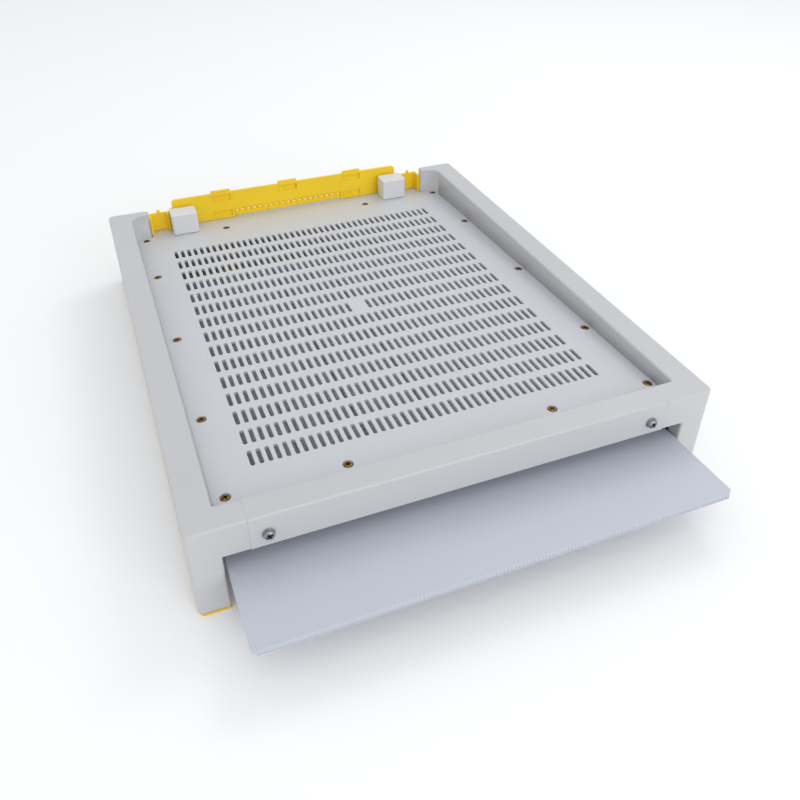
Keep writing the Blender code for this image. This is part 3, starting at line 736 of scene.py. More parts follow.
def frame_ring(side):
    """Plan curves of a side member, station by station, and the outline it carries.

    The path starts at the seam with the rear rail, turns the outer corner, runs along the
    side and ends in the rounded nose beside the entrance. At each station the outline
    climbs the outer curve, crosses the rim to the inner curve, falls to the sheet, steps
    out to the wall of the tray's tunnel and falls to the foot. At the sheet the inner curve
    leans inward by INNER_LEAN along its normal, which fades out toward both ends.
    """
    rear, end, wall = RAIL_BACK, HALF_LENGTH, WALL_X
    nose = RETURN_WALL / 2
    lean = INNER_LEAN[side]
    rear_mid = (wall - REAR_ROUND, rear + REAR_ROUND)
    front_mid = (wall - FRONT_ROUND, end - RETURN_WALL - FRONT_ROUND)
    nose_mid = (RETURN_X + nose, end - nose)
    after_rear, before_front = rear_mid[1] + 8, front_mid[1] - 14
    outer_x, outer_y = HALF_WIDTH - CORNER, end - CORNER
    # Every leg of the path: the outer curve, the inner one at the rim, the inner one below the sheet.
    seam = line((RETURN_X, rear), (rear_mid[0], rear), 1)
    past_corner = line((wall, rear_mid[1]), (wall, after_rear), 8)
    side_run = line((wall, after_rear), (wall, before_front), 12)
    legs = [
        (line((RETURN_X, -end), (rear_mid[0], -end), 1), seam, seam),
        (line((rear_mid[0], -end), (wall, -end), 4), arc(rear_mid, REAR_ROUND, -90, -45, 4),
         line((rear_mid[0], rear), (wall, rear), 4)),
        (line((wall, -end), (outer_x, -end), 4), arc(rear_mid, REAR_ROUND, -45, 0, 4),
         line((wall, rear), (wall, rear_mid[1]), 4)),
        (arc((outer_x, CORNER - end), CORNER, -90, 0, 8), past_corner, past_corner),
        (line((HALF_WIDTH, CORNER - end), (HALF_WIDTH, outer_y), 12), side_run, side_run),
        (arc((outer_x, outer_y), CORNER, 0, 90, 8), line((wall, before_front), (wall, front_mid[1]), 8),
         line((wall, before_front), (wall, SILL_BACK), 8)),
        (line((outer_x, end), (front_mid[0], end), 8), arc(front_mid, FRONT_ROUND, 0, 90, 8),
         line((wall, SILL_BACK), (front_mid[0], SILL_BACK), 8)),
        (arc(nose_mid, nose, 90, 180, 7), arc(nose_mid, nose, -90, -180, 7),
         line((front_mid[0], SILL_BACK), (RETURN_X, SILL_BACK), 7)),
    ]
    keep = [slice(0, None), slice(1, None), slice(0, None)] + [slice(1, None)] * 4 + [slice(0, None)]
    outer_up, inner_up, inner_low = (
        np.concatenate([leg[which][part] for leg, part in zip(legs, keep)]) for which in range(3)
    )
    outer_low = outer_up.copy()
    outer_low[-8:] = line((front_mid[0], end), (RETURN_X, end), 7)
    counts = [len(leg[0][part]) for leg, part in zip(legs, keep)]
    corner = counts[0] + counts[1]                # the station where the leg begins
    grounded = np.arange(len(outer_up)) >= corner
    along = np.gradient(inner_up, axis=0)
    along[corner - 1] = along[corner] = (1.0, 1.0)
    normal = np.column_stack((-along[:, 1], along[:, 0]))
    normal /= np.maximum(np.linalg.norm(normal, axis=1, keepdims=True), 1e-9)
    fade = np.ones(len(outer_up))
    fade[:counts[0]] = 0.0
    fade[counts[0]:corner] = np.linspace(0.1, 0.5, counts[1])
    fade[corner:corner + counts[2]] = np.linspace(0.5, 1.0, counts[2])
    fade[-counts[7] - counts[6]:-counts[7]] = np.linspace(1.0, 0.0, counts[6])
    fade[-counts[7]:] = 0.0
    leaning = inner_up + normal * (lean * fade)[:, None]

    def level(curve, below):
        return sheet_z(curve[:, 1], below)

    def foot(curve):
        return np.where(grounded, FOOT, level(curve, UNDER))

    top = np.full(len(outer_up), RIM_TOP)
    rows = (
        (outer_low, foot(outer_low)), (outer_low, level(outer_low, UNDER)), (outer_low, level(outer_low, 1.0)),
        (outer_up, level(outer_up, 1.0)), (outer_up, top), (inner_up, top), (leaning, level(leaning, 1.0)),
        (inner_low, level(inner_low, 1.0)), (inner_low, level(inner_low, UNDER)), (inner_low, foot(inner_low)),
    )
    loops = np.stack([np.column_stack(row) for row in rows], axis=1)
    loops[..., 0] *= side
    return loops


def side_frame(side):
    """Side member: its ring surface, closed at both ends, and the ledge under the sheet."""
    shell = Shell()
    loops = frame_ring(side)
    stations, corners = loops.shape[:2]
    carried(shell, loops, (True, False))
    last = (stations - 1) * corners
    shell.faces.append([last + row for row in (0, 1, 2, 3, 7, 8, 9)])
    outside = WALL_X + 0.6
    ledge = np.array(((RETURN_X, -SHEET - FIT), (outside, -SHEET - FIT), (outside, -UNDER), (RETURN_X, -UNDER)))
    bar(shell, ledge * (side, 1), RAIL_BACK - 0.6, HALF_LENGTH - RETURN_WALL, 1, on_slope)
    return shell


def frame_share(x, y, z):
    """Full rounding on the rim, a third at the foot, a hairline at the seams, none in the sheet."""
    share = np.ones(len(x))
    share[z < FOOT + 1] = 0.35
    share[(np.abs(x) < RETURN_X + 0.6) & (y < RAIL_BACK + 1)] = 0.06
    share[(np.abs(x) < RETURN_X + 0.6) & (z < sheet_z(y) - 0.5)] = 0.16
    share[np.abs(z - sheet_z(y, 1.0)) < 0.4] = 0.0
    tunnel = (y > RAIL_BACK + 0.5) & (y < SILL_BACK - 1)
    share[(np.abs(x) < WALL_X) & (z < sheet_z(y) - 2) & tunnel] = 0.3
    return share


def rear_rail():
    """Rail outline in y and z, with its ledge under the sheet, carried across the hive."""
    ledge = span("rear_rail")[1][1]
    outline = (
        (-HALF_LENGTH, RIM_TOP), (-HALF_LENGTH, sheet_z(-HALF_LENGTH, UNDER)), (ledge, sheet_z(ledge, UNDER)),
        (ledge, sheet_z(ledge, SHEET + FIT)), (RAIL_BACK, sheet_z(RAIL_BACK, SHEET + FIT)),
        (RAIL_BACK, RIM_TOP),
    )
    return across_hive(outline, RETURN_X - SEAM)


def across_hive(outline, half):
    """A y, z outline carried from -half to half across the hive."""
    shell = Shell()
    bar(shell, outline, -half, half, 0)
    return shell


def rail_share(x, y, z):
    """Full rounding along the rail, a hairline where it meets the side members."""
    along = np.where((y > RAIL_BACK + 1) | (z < RIM_TOP - 5), 0.45, 1.0)
    return np.where(np.abs(x) > RETURN_X - 1.5, 0.05, along)


def entrance_sill():
    """Sill outline in y and z, carried across the entrance."""
    top = sheet_z(HALF_LENGTH, SHEET + FIT)
    outline = (
        (SILL_BACK, FOOT), (HALF_LENGTH, FOOT), (HALF_LENGTH, top),
        (SILL_BACK, sheet_z(SILL_BACK, SHEET + FIT)),
    )
    return across_hive(outline, RETURN_X - FIT)


def side_cover(side):
    """Base plate under a side member, with the frame's corners, a little inside its outer face."""
    across, along = HALF_WIDTH - CORNER - COVER_INSET, HALF_LENGTH - CORNER
    plan = np.concatenate((
        [(WALL_X, -HALF_LENGTH)], arc((across, -along), CORNER, -90, 0, 8),
        arc((across, along), CORNER, 0, 90, 8), [(WALL_X, HALF_LENGTH)],
    ))
    return raised(plan * (side, 1), 0.0, FOOT - FIT)


def sill_cover():
    """Base plate under the sill, between the side members' plates."""
    half = WALL_X - FIT
    plan = ((-half, SILL_BACK), (half, SILL_BACK), (half, HALF_LENGTH), (-half, HALF_LENGTH))
    return raised(plan, 0.0, FOOT - FIT)


def screw_places():
    """(x, y) on the sheet of every floor screw, from the frame's screws."""
    places = []
    for name in sorted(frame["nodes"]):
        if name.startswith("floor_screw_"):
            low, high = span(name)
            places.append(((low[0] + high[0]) / 2, (low[1] + high[1]) / 2 / math.cos(SLOPE)))
    return np.array(places)


SLOT_BEND = 0.85                              # a slot's corner radius as a part of its half width
SLOT_STAGES = ((0.34, 0.0), (0.1, -0.1), (0.0, -0.34), (0.1, -SHEET))  # growth and height, top to bottom
DISH_CELL, DISH_RING = 5.6, 5.4               # half a screw's grid cell, and the dish's raised ring
LIP_FALL = 1.2                                # rounding of the sheet's landing lip
RIB_STEP, RIB_DEPTH = 56.0, 8.0               # lengthwise ribs under the sheet


def slot_outline(grow):
    """Twelve corners of a slot's rounded rectangle, anticlockwise, grown by grow."""
    half_x, half_y = mm(sizes().slot_width) / 2 + grow, mm(sizes().slot_length) / 2 + grow
    bend = SLOT_BEND * half_x
    diagonal = bend * math.sqrt(0.5)
    return mirrored_four(np.array((
        (half_x, half_y - bend), (half_x - bend + diagonal, half_y - bend + diagonal), (half_x - bend, half_y),
    )))


def mirrored_four(quarter):
    """A quarter outline, from its x side to its y side, mirrored to all four corners."""
    left, below = np.array((-1.0, 1.0)), np.array((1.0, -1.0))
    return np.concatenate((quarter, quarter[::-1] * left, quarter * left * below, quarter[::-1] * below))


def screen_floor():
    """The slotted sheet on a grid of lines.

    Each slot's cell of the grid is filled by outlines that shrink from the cell's edge to
    the slot, round its edge, run down its wall and widen again underneath. Each screw's
    cell is filled by circles whose height follows the dish: a low raised ring, then a
    bowl. Past the corner returns the sheet narrows to the landing lip, and there its top
    falls by a circle's arc near the edge.
    """
    s = sizes()
    step_x, step_y, middle = mm(s.slot_step_x), mm(s.slot_step_y), mm(s.slots_middle)
    half_slot = mm(s.slot_length) / 2
    columns = (np.arange(s.slot_columns) - (s.slot_columns - 1) / 2) * step_x
    rows = (np.arange(s.slot_rows) - (s.slot_rows - 1) / 2) * step_y + middle
    edge_x = np.append(columns - step_x / 2, columns[-1] + step_x / 2)
    edge_y = np.append(rows - step_y / 2, rows[-1] + step_y / 2)
    reach, ring, fall = DISH_CELL, DISH_RING, LIP_FALL
    screws = screw_places()
    lip_x, wall_y = RETURN_X - FIT, HALF_LENGTH - RETURN_WALL - FIT
    steps = np.array((-reach, -reach / 2, 0.0, reach / 2, reach))
    outside_x = screws[np.abs(screws[:, 0]) > edge_x[-1], 0]
    outside_y = screws[(screws[:, 1] < edge_y[0]) | (screws[:, 1] > edge_y[-1]), 1]
    lips = np.array((lip_x, lip_x - 0.35, lip_x - fall))
    x_lines = np.concatenate((
        edge_x, columns - 1, columns + 1, (outside_x[:, None] + steps).ravel(),
        lips, -lips, (-SHEET_X, SHEET_X),
    ))
    y_lines = np.concatenate((
        edge_y, rows - half_slot, rows + half_slot, (outside_y[:, None] + steps).ravel(),
        (RAIL_BACK + FIT, wall_y, LIP_END, LIP_END - 0.35, LIP_END - fall),
    ))
    x_lines, y_lines = np.unique(x_lines.round(3)), np.unique(y_lines.round(3))
    mid_x, mid_y = (x_lines[1:] + x_lines[:-1]) / 2, (y_lines[1:] + y_lines[:-1]) / 2
    grid_x, grid_y = np.meshgrid(mid_x, mid_y, indexing="ij")
    top = np.where((np.abs(grid_x) > lip_x) & (grid_y > wall_y), np.nan, 0.0)
    bottom = np.where(np.isnan(top), np.nan, -SHEET)
    column = np.floor((grid_x - edge_x[0]) / step_x).astype(int)
    row = np.floor((grid_y - edge_y[0]) / step_y).astype(int)
    in_field = (column >= 0) & (column < len(columns)) & (row >= 0) & (row < len(rows))

    def blank(at_column, at_row):
        """The solid pad in the middle: two slots of the middle row are left out."""
        return (at_row == len(rows) // 2) & (np.abs(at_column - (len(columns) - 1) / 2) < 1)

    skip = in_field & ~blank(column, row)
    blocks = []
    for x, y in screws:
        i0, i1 = np.searchsorted(x_lines, (x - reach + 0.01, x + reach - 0.01))
        j0, j1 = np.searchsorted(y_lines, (y - reach + 0.01, y + reach - 0.01))
        blocks.append((x, y, i0 - 1, i1, j0 - 1, j1))
        skip[i0 - 1:i1, j0 - 1:j1] = True
    shell = Shell()
    terraces(shell, x_lines, y_lines, top, bottom, skip)

    at_column, at_row = np.meshgrid(np.arange(len(columns)), np.arange(len(rows)), indexing="ij")
    there = ~blank(at_column, at_row)
    middles = np.column_stack((columns[at_column[there]], rows[at_row[there]]))[:, None, :]
    cell = mirrored_four(np.array(((step_x / 2, half_slot), (step_x / 2, step_y / 2), (1.0, step_y / 2))))
    stages = [at_height(middles + cell, 0.0)]
    for grow, z in SLOT_STAGES:
        stages.append(at_height(middles + slot_outline(grow), z))
    stages.append(at_height(middles + cell, -SHEET))
    ringed(shell, stages)

    dish = -mm(s.dish)
    bowl = (
        (ring, 0.0), (5.1, 0.16), (4.75, 0.24), (4.4, 0.1), (4.15, -0.35),
        (3.95, dish * 0.8), (3.7, dish), (1.8, dish),
    )
    for x, y, i0, i1, j0, j1 in blocks:
        outer = rim_points(x_lines[i0:i1 + 1], y_lines[j0:j1 + 1])
        circles = np.stack([at_height(arc((x, y), radius, 0, 360, 36)[:-1], z) for radius, z in bowl])
        shell.add(np.concatenate((at_height(outer, 0.0), circles[0])), stitched(outer, circles[0][:, :2]))
        ringed(shell, circles[:, None])
        shell.add(circles[-1], [list(range(36))])
        shell.add(at_height(outer, -SHEET), [list(range(len(outer)))[::-1]])

    for part, points in enumerate(shell.points):
        x, y, z = points.T
        near = np.minimum(np.where(y > wall_y, np.abs(lip_x - np.abs(x)), 99), np.abs(LIP_END - y))
        gone = np.clip(fall - near, 0, fall)
        drop = fall - np.sqrt(fall ** 2 - gone ** 2)
        z = np.where(z > -0.05, z - drop, z)
        shell.points[part] = on_slope(np.column_stack((x, y, z)))

    rib_top, rib_foot = -SHEET + 0.4, -SHEET - RIB_DEPTH
    for x in (np.arange(5) - 2) * RIB_STEP:
        rib = ((x - 0.85, rib_top), (x + 0.85, rib_top), (x + 0.65, rib_foot), (x - 0.65, rib_foot))
        bar(shell, rib, RAIL_BACK + 34, SILL_BACK - 17, 1, on_slope)
    return shell


def screw_shape(head, height, shank, reach, turn, rings=18, around=48):
    """A pan-head screw on its own axis, head up, and how deep each point lies in its recess.

    The top is a flattened dome, height times the square root of one less the fourth power
    of the radius. The cross-shaped driver recess is sunk where the lesser of the turned
    coordinates is under the arm's half width and the greater is under its length.
    """
    radius = np.concatenate((np.linspace(0, head * 0.97, rings), (head, head, shank, shank, shank * 0.5, 0.0)))
    dome = height * (0.35 + 0.65 * np.sqrt(np.clip(1 - (radius[:rings] / head) ** 4, 0, 1)))
    under = (height * 0.3, 0.0, 0.0, -reach + 2 * shank, -reach + shank * 0.7, -reach)
    z = np.concatenate((dome, under))
    angle = np.linspace(0, 2 * np.pi, around, endpoint=False)
    x, y = radius[:, None] * np.cos(angle), radius[:, None] * np.sin(angle)
    u, v = x * math.cos(turn) + y * math.sin(turn), y * math.cos(turn) - x * math.sin(turn)
    lesser, greater = np.minimum(np.abs(u), np.abs(v)), np.maximum(np.abs(u), np.abs(v))
    arm, arm_length = head * 0.15, head * 0.56
    within_arm = np.clip((arm - lesser) / (head * 0.07) + 0.5, 0, 1)
    sunk = within_arm * np.clip((arm_length - greater) / (head * 0.12) + 0.5, 0, 1)
    sunk[rings:] = 0.0
    z = z[:, None] - sunk * height * 0.75
    return np.stack((x, y, z), axis=-1), sunk


def floor_screws():
    """A screw in every dish of the sheet, each turned its own way."""
    shell, depths = Shell(), []
    head = (span("floor_screw_01")[1][0] - span("floor_screw_01")[0][0]) / 2
    base = FIT - mm(sizes().dish)
    for index, (x, y) in enumerate(screw_places()):
        grid, sunk = screw_shape(head, height=1.6, shank=1.6, reach=12.0, turn=0.4 + 1.7 * index)
        carried(shell, on_slope(grid + (x, y, base)), (False, False))
        depths.append(sunk.ravel())
    return shell, np.concatenate(depths)


RAIL_HEAD = 4.0                               # radius of a rail screw's head
WASHER_SHARE = 0.84                           # part of the solid washer's radius that shows


def rail_fastener(side_name):
    """A rail screw and its washer, on an axis that points out of the rail's rear face."""
    low, high = span("rail_washer_" + side_name)
    x, z = (low[0] + high[0]) / 2, (low[2] + high[2]) / 2

    def place(points):
        a, b, c = np.moveaxis(points, -1, 0)
        return np.stack((x + a, -HALF_LENGTH - c, z + b), axis=-1)

    washer_radius = (high[0] - low[0]) / 2 * WASHER_SHARE
    screw, washer = Shell(), Shell()
    turned_by = {"left": 0.5, "right": 1.9}[side_name]
    grid, sunk = screw_shape(RAIL_HEAD, height=2.8, shank=2.0, reach=14.0, turn=turned_by)
    carried(screw, place(grid + (0, 0, FIT + 1.0 + 0.1)), (False, False))
    rim = washer_radius - 0.25
    ring = ((2.3, 0.0), (rim, 0.0), (washer_radius, 0.25), (washer_radius, 0.75), (rim, 1.0), (2.3, 1.0))
    turn = np.linspace(0, 2 * np.pi, 48, endpoint=False)[:, None]
    radius, height = np.array(ring).T
    heights = np.repeat(height[None, :] + FIT, len(turn), 0)
    loops = np.stack((radius * np.cos(turn), radius * np.sin(turn), heights), axis=-1)
    loops = np.concatenate((loops, loops[:1]))
    carried(washer, place(loops), (False, False))
    return screw, sunk.ravel(), washer


TRAY_TOP = -30.4                              # the tray's top, under the sheet's top
TRAY_DEPTH = 5.0
TRAY_WEB = 0.6
FLUTE_SEAL = 0.4                              # how far the seals sit back in the drawn end
TRAY_CHAMFER, CHAMFER_SLOPE = 4.0, 0.9        # width and slope of the near corners' cut


def inspection_tray():
    """Twin-wall sheet: two skins joined by webs a pitch apart, with its flutes sealed.

    It is a plate on a grid across the sheet's end, as deep as the tray is long; the
    cells between the webs are the seals, set back at the drawn end. The near corners are
    cut back by CHAMFER_SLOPE times the distance past a line TRAY_CHAMFER in from each side.
    """
    s = sizes()
    low, high = span("inspection_tray")
    half = high[0]
    c, lean = math.cos(SLOPE), math.sin(SLOPE)
    start = (low[1] - (TRAY_TOP - TRAY_DEPTH) * lean) / c
    stop = (high[1] - TRAY_TOP * lean) / c
    pitch, skin, web = mm(s.flute), mm(s.flute_skin), TRAY_WEB
    count = 2 * int((half - 1) // pitch)
    webs = (np.arange(count + 1) - count / 2) * pitch
    x_lines = np.concatenate(((-half,), np.sort(np.concatenate((webs - web / 2, webs + web / 2))), (half,)))
    z_lines = np.array((-TRAY_DEPTH, -TRAY_DEPTH + skin, -skin, 0.0))
    ends = np.full((len(x_lines) - 1, 3), -start)
    ends[2:-2:2, 1] -= FLUTE_SEAL
    tails = np.full_like(ends, -stop)

    def chamfered(points):
        across, along = points[:, 0], -points[:, 2]
        cut = np.clip(np.abs(across) - (half - TRAY_CHAMFER), 0, TRAY_CHAMFER) * CHAMFER_SLOPE
        along = np.where(along < start + 1.0, along + cut, along)
        return on_slope(np.column_stack((across, along, points[:, 1] + TRAY_TOP)))

    shell = Shell()
    terraces(shell, x_lines, z_lines, ends, tails, place=chamfered)
    return shell


def tray_runner(side):
    """Channel outline in x and z, carried along the tunnel's wall."""
    top, bottom, flange, wall = TRAY_TOP + 1.0, TRAY_TOP - TRAY_DEPTH - FIT, SHEET_X - 9.0, 1.2
    outline = np.array((
        (flange, top + wall), (SHEET_X, top + wall), (SHEET_X, bottom - wall), (flange, bottom - wall),
        (flange, bottom), (SHEET_X - wall, bottom), (SHEET_X - wall, top), (flange, top),
    ))
    shell = Shell()
    bar(shell, outline * (side, 1), -HALF_LENGTH + 22.0, SILL_BACK - 1.3, 1, on_slope)
    return shell


GATE_LOW, GATE_HIGH = span("entrance_gate")
GATE_HALF, GATE_BODY_TOP = GATE_HIGH[0], 33.0
BLOCK_ROUND = 2.2


def over_sheet(x, y):
    """Height of the fitting play above the sheet, for what stands on it."""
    return sheet_z(y) + FIT


def bee_arch(middle, half, low):
    """Straight sides that rise from low by 1.1 half widths, under a half circle."""
    spring = low + 1.1 * half
    top = arc((middle, spring), half, 0, 180, 10)
    return np.concatenate((((middle + half, low),), top, ((middle - half, low),)))


def entrance_gate():
    """The gate as a plate on a grid, seen from inside the hive; height is towards the hive.

    Finger pockets are lower cells, tabs stand on the top edge, and each bee hole's cell is
    filled between its edge and an arched recess, with a smaller arched hole in its middle.
    The upper corners follow a quarter circle, by which the whole column of points is shortened.
    """
    full, panel, pocket, tab, foot, step = 3.0, 2.6, 0.6, 1.8, 1.6, 1.3    # heights over the back
    offset, half_tab, foot_half = 82.0, 11.5, 67.4
    pitch, holes = 7.17, 19
    corner = 4.0
    cells = (np.arange(holes + 1) - holes / 2) * pitch
    cells[0], cells[-1] = -foot_half, foot_half
    ends = GATE_HALF - np.array((0.0, 0.15, 0.6, 1.3, 2.3, corner))
    x_lines = np.unique(np.concatenate((
        cells, ends, -ends, (-offset - half_tab, -offset + half_tab, offset - half_tab, offset + half_tab),
        (-half_tab, half_tab, -5.0, 3.0, 9.3, 10.6),
    )).round(3))
    gap_top, foot_top, hole_low, pocket_top, hole_high = 0.8, 2.2, 4.2, 9.75, 12.4
    upper_low, upper_high = 22.75, 30.25
    z_lines = np.array((
        0.0, gap_top, foot_top, hole_low, pocket_top, hole_high, upper_low, 24.4, 28.6, upper_high,
        GATE_BODY_TOP, GATE_HIGH[2] - GATE_LOW[2],
    ))
    mid_x, mid_z = (x_lines[1:] + x_lines[:-1]) / 2, (z_lines[1:] + z_lines[:-1]) / 2
    x, z = np.meshgrid(mid_x, mid_z, indexing="ij")
    by_tab = (np.abs(np.abs(x) - offset) < half_tab) | (np.abs(x) < half_tab)
    front = np.where((np.abs(x) < foot_half) & (z < GATE_BODY_TOP), panel, full)
    front[(z > GATE_BODY_TOP) & ~by_tab] = np.nan
    front[(z > GATE_BODY_TOP) & by_tab] = tab
    upper, lower = (z > upper_low) & (z < upper_high), (z > foot_top) & (z < pocket_top)
    under_holes = np.abs(x) < foot_half
    front[by_tab & upper] = pocket
    front[(np.abs(np.abs(x) - offset) < half_tab) & lower] = pocket
    front[(x > -5) & (x < 3) & (z > 24.4) & (z < 28.6)] = 1.4
    front[(x > 9.3) & (x < 10.6) & upper] = 0.25
    front[under_holes & (z < foot_top)] = foot
    front[under_holes & (z < gap_top)] = np.nan
    back = np.where(np.isnan(front), np.nan, 0.0)
    skip = under_holes & (z > hole_low) & (z < hole_high)

    def place(points):
        a, b, h = np.moveaxis(points, -1, 0)
        past = np.clip(np.abs(a) - (GATE_HALF - corner), 0, corner)
        crown = GATE_BODY_TOP - (corner - np.sqrt(corner ** 2 - past ** 2))
        b = np.where(b <= GATE_BODY_TOP + 1e-6, b * crown / GATE_BODY_TOP, b)
        return np.stack((a, GATE_HIGH[1] - h, GATE_LOW[2] + b), axis=-1)

    shell = Shell()
    terraces(shell, x_lines, z_lines, front, back, skip, place)
    for index in range(holes):
        low, high = cells[index], cells[index + 1]
        middle = (index - (holes - 1) / 2) * pitch
        across = x_lines[(x_lines > low - 0.01) & (x_lines < high + 0.01)]
        up = z_lines[(z_lines > hole_low - 0.01) & (z_lines < hole_high + 0.01)]
        outer = rim_points(across, up)
        arch, hole = bee_arch(middle, 2.7, 5.0), bee_arch(middle + 0.2, 0.8, 6.2)
        for height, rim, flip in ((panel, arch, 1), (0.0, hole, -1)):
            ring = stitched(outer, rim)[:, ::flip]
            shell.add(place(np.concatenate((at_height(outer, height), at_height(rim, height)))), ring)
        stages = ((arch, panel), (arch, step), (hole, step), (hole, 0.0))
        ringed(shell, [at_height(rim, height)[None] for rim, height in stages], place)
    return shell


def gate_guide(side):
    """Plan outline of a guide raised from the sheet to its top: a pocket that faces the
    hive, with a cheek on either side, and behind it the groove for the gate's end."""
    play, wall, grip, nub_width, nub_height = 0.8, 2.5, 7.0, 3.4, 3.4
    low, high = span("gate_guide_right")
    top = high[2] - nub_height
    face, groove = GATE_LOW[1] - play, GATE_HIGH[1] + play
    web = face - wall
    inner, post = GATE_HALF - grip, GATE_HALF + play
    cheek = span("gate_block_right")[1][0] + 0.6
    outer = high[0]
    plan = np.array((
        (inner, web), (cheek, web), (cheek, web - 6), (cheek + wall, web - 6), (cheek + wall, web),
        (outer - wall, web), (outer - wall, low[1]), (outer, low[1]), (outer, face), (post + wall, face),
        (post + wall, groove + wall), (inner, groove + wall), (inner, groove), (post, groove),
        (post, face), (inner, face),
    ))
    shell = raised(plan * (side, 1), over_sheet, top)
    nub = outer - 13.5
    plan = np.array(((nub, web), (nub + nub_width, web), (nub + nub_width, face), (nub, face)))
    prism(shell, plan * (side, 1), top - 1.0, top + nub_height)
    return shell


def gate_block(side_name):
    """Rounded plan of a block, raised from the sheet to its top."""
    low, high = span("gate_block_" + side_name)
    return raised(rounded_rectangle(low[:2], high[:2], BLOCK_ROUND), over_sheet, high[2])


# ---------------------------------------------------------------- operators

class HIVE_FLOOR_OT_side_frames(bpy.types.Operator):
    """Builds both side members with their entrance corners and legs"""
    bl_idname = "hive_floor.side_frames"
    bl_label = "Side Frames"

    def execute(self, context):
        for side, label in ((-1, "left"), (1, "right")):
            put_piece("frame_side_" + label, side_frame(side), frame_white(), HIVE_FRAME,
                      ["side_frame_" + label], mm(sizes().rim_round), share=frame_share)
        return {"FINISHED"}


class HIVE_FLOOR_OT_rails(bpy.types.Operator):
    """Builds the rear rail over the tray's mouth and the sill under the entrance"""
    bl_idname = "hive_floor.rails"
    bl_label = "Rear Rail and Sill"

    def execute(self, context):
        put_piece("frame_rear_rail", rear_rail(), frame_white(), HIVE_FRAME,
                  ["rear_rail"], mm(sizes().rim_round) * 0.85, steps=3, share=rail_share)
        put_piece("frame_entrance_sill", entrance_sill(), frame_white(), HIVE_FRAME,
                  ["entrance_sill"], mm(sizes().small_round))
        return {"FINISHED"}


class HIVE_FLOOR_OT_base_covers(bpy.types.Operator):
    """Builds the yellow plates under the frame"""
    bl_idname = "hive_floor.base_covers"
    bl_label = "Base Covers"

    def execute(self, context):
        edge = mm(sizes().small_round) * 0.5
        for side, label in ((-1, "left"), (1, "right")):
            put_piece("base_plate_" + label, side_cover(side), base_yellow(), HIVE_FRAME,
                      ["base_cover_" + label], edge, steps=2)
        put_piece("base_plate_entrance", sill_cover(), base_yellow(), HIVE_FRAME,
                  ["base_cover_entrance"], edge, steps=2)
        return {"FINISHED"}


class HIVE_FLOOR_OT_screen_floor(bpy.types.Operator):
    """Builds the sloping slotted sheet with its screw dishes and ribs"""
    bl_idname = "hive_floor.screen_floor"
    bl_label = "Screen Floor"

    def execute(self, context):
        put_piece("slotted_floor", screen_floor(), sheet_white(), HIVE_FRAME,
                  ["screen_floor"], outward=False, sharp=50)
        return {"FINISHED"}


class HIVE_FLOOR_OT_fasteners(bpy.types.Operator):
    """Builds the floor screws, and the screws and washers of the rear rail"""
    bl_idname = "hive_floor.fasteners"
    bl_label = "Screws and Washers"

    def execute(self, context):
        shell, depth = floor_screws()
        nodes = sorted(name for name in frame["nodes"] if name.startswith("floor_screw_"))
        put_piece("floor_screws", shell, brass(), HIVE_FRAME, nodes, values=depth)
        for label in ("left", "right"):
            screw, depth, washer = rail_fastener(label)
            put_piece("rail_screw_head_" + label, screw, zinc(), HIVE_FRAME,
                      ["rail_screw_" + label], values=depth)
            put_piece("rail_screw_washer_" + label, washer, zinc(), HIVE_FRAME,
                      ["rail_washer_" + label])
        return {"FINISHED"}


class HIVE_FLOOR_OT_tray(bpy.types.Operator):
    """Builds the pull-out tray and the channels it runs in"""
    bl_idname = "hive_floor.tray"
    bl_label = "Tray and Runners"

    def execute(self, context):
        put_piece("fluted_tray", inspection_tray(), fluted_white(), TRAY_BODY,
                  ["inspection_tray"])
        for side, label in ((-1, "left"), (1, "right")):
            put_piece("runner_" + label, tray_runner(side), runner_white(), HIVE_FRAME,
                      ["tray_runner_" + label], 0.25, steps=2)
        return {"FINISHED"}


class HIVE_FLOOR_OT_gate(bpy.types.Operator):
    """Builds the entrance gate, its two guides and the blocks in front of them"""
    bl_idname = "hive_floor.gate"
    bl_label = "Entrance Gate"

    def execute(self, context):
        small = mm(sizes().small_round)
        put_piece("bee_gate", entrance_gate(), gate_yellow(), GATE_BODY,
                  ["entrance_gate"], small * 0.5, steps=2)
        for side, label in ((-1, "left"), (1, "right")):
            put_piece("gate_pocket_" + label, gate_guide(side), gate_yellow(), HIVE_FRAME,
                      ["gate_guide_" + label], small * 0.7, steps=2)
            put_piece("gate_stop_" + label, gate_block(label), block_white(), HIVE_FRAME,
                      ["gate_block_" + label], small * 1.6)
        return {"FINISHED"}


GROUND_REACH = 12.0                           # metres from the middle to the ground's edge
LIGHT_AIM = (0.0, MID_Y, 0.05)
LIGHTS = (                                    # name, place in metres, which power, size in metres
    ("key_light", (1.15, 0.75, 1.75), "key", 0.8),
    ("fill_light", (-0.5, -1.1, 2.4), "fill", 1.6),
    ("front_light", (0.7, -2.3, 0.9), "front", 1.4),
)
CAMERA_PLACE = (-211.2 * MM, -626.6 * MM + MID_Y, 480.0 * MM)
CAMERA_TURN = (54.689, 0.289, -21.256)        # degrees about X, Y and Z
CAMERA_SHIFT = (0.0147, -0.0659)
SKY_COLOUR = (0.97, 0.985, 1.0, 1.0)


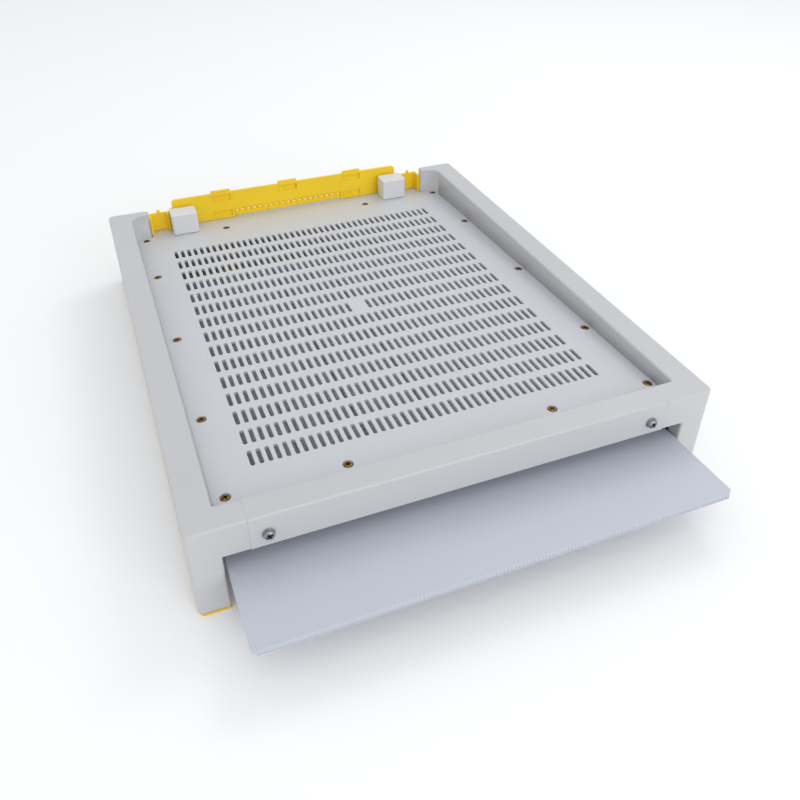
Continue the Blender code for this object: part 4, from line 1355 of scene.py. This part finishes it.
class HIVE_FLOOR_OT_stage(bpy.types.Operator):
    """Sets the ground, the soft light and the camera"""
    bl_idname = "hive_floor.stage"
    bl_label = "Stage"

    def execute(self, context):
        stage, scene = context.scene.hive_floor_stage, context.scene
        mesh = bpy.data.meshes.new("pale_ground")
        near, far = -GROUND_REACH, GROUND_REACH
        mesh.from_pydata([(near, near, 0), (far, near, 0), (far, far, 0), (near, far, 0)], [], [(0, 1, 2, 3)])
        ground = bpy.data.objects.new("pale_ground", mesh)
        scene.collection.objects.link(ground)
        mesh.materials.append(ground_white())

        for label, place, strength, size in LIGHTS:
            lamp = bpy.data.lights.new(label, "AREA")
            lamp.energy, lamp.size = getattr(stage, strength), size
            holder = bpy.data.objects.new(label, lamp)
            holder.location = place
            holder.rotation_euler = (Vector(LIGHT_AIM) - Vector(place)).to_track_quat("-Z", "Y").to_euler()
            scene.collection.objects.link(holder)

        world = bpy.data.worlds.new("even_sky")
        scene.world = world
        world.use_nodes = True
        background = world.node_tree.nodes["Background"].inputs
        background["Color"].default_value = SKY_COLOUR
        background["Strength"].default_value = stage.sky
        scene.view_settings.view_transform = "Standard"

        lens = bpy.data.cameras.new("camera")
        lens.sensor_width, lens.lens = 36.0, mm(stage.lens)
        lens.shift_x, lens.shift_y = CAMERA_SHIFT
        lens.clip_start, lens.clip_end = 0.01, 50.0
        camera = bpy.data.objects.new("camera", lens)
        camera.location = CAMERA_PLACE
        camera.rotation_euler = Euler(np.radians(CAMERA_TURN), "XYZ")
        scene.collection.objects.link(camera)
        scene.camera = camera
        return {"FINISHED"}


class HIVE_FLOOR_PT_panel(bpy.types.Panel):
    """Sizes, colours and steps of the hive floor"""
    bl_label = "Hive Floor"
    bl_idname = "HIVE_FLOOR_PT_panel"
    bl_space_type = "VIEW_3D"
    bl_region_type = "UI"
    bl_category = "Hive Floor"

    def draw(self, context):
        layout, scene = self.layout, context.scene
        for group in (scene.hive_floor_sizes, scene.hive_floor_colours, scene.hive_floor_stage):
            box = layout.box()
            for name in group.__annotations__:
                box.prop(group, name)
        for step in STEPS:
            layout.operator(step.bl_idname)


STEPS = (
    HIVE_FLOOR_OT_side_frames, HIVE_FLOOR_OT_rails, HIVE_FLOOR_OT_base_covers, HIVE_FLOOR_OT_screen_floor,
    HIVE_FLOOR_OT_fasteners, HIVE_FLOOR_OT_tray, HIVE_FLOOR_OT_gate, HIVE_FLOOR_OT_stage,
)
GROUPS = (HiveFloorSizes, HiveFloorColours, HiveFloorStage)


def register():
    for kind in (*GROUPS, *STEPS, HIVE_FLOOR_PT_panel):
        bpy.utils.register_class(kind)
    bpy.types.Scene.hive_floor_sizes = PointerProperty(type=HiveFloorSizes)
    bpy.types.Scene.hive_floor_colours = PointerProperty(type=HiveFloorColours)
    bpy.types.Scene.hive_floor_stage = PointerProperty(type=HiveFloorStage)


def unregister():
    del bpy.types.Scene.hive_floor_stage
    del bpy.types.Scene.hive_floor_colours
    del bpy.types.Scene.hive_floor_sizes
    for kind in reversed((*GROUPS, *STEPS, HIVE_FLOOR_PT_panel)):
        bpy.utils.unregister_class(kind)


def main():
    register()
    for step in STEPS:
        family, name = step.bl_idname.split(".")
        getattr(getattr(bpy.ops, family), name)()


if __name__ == "__main__":
    main()
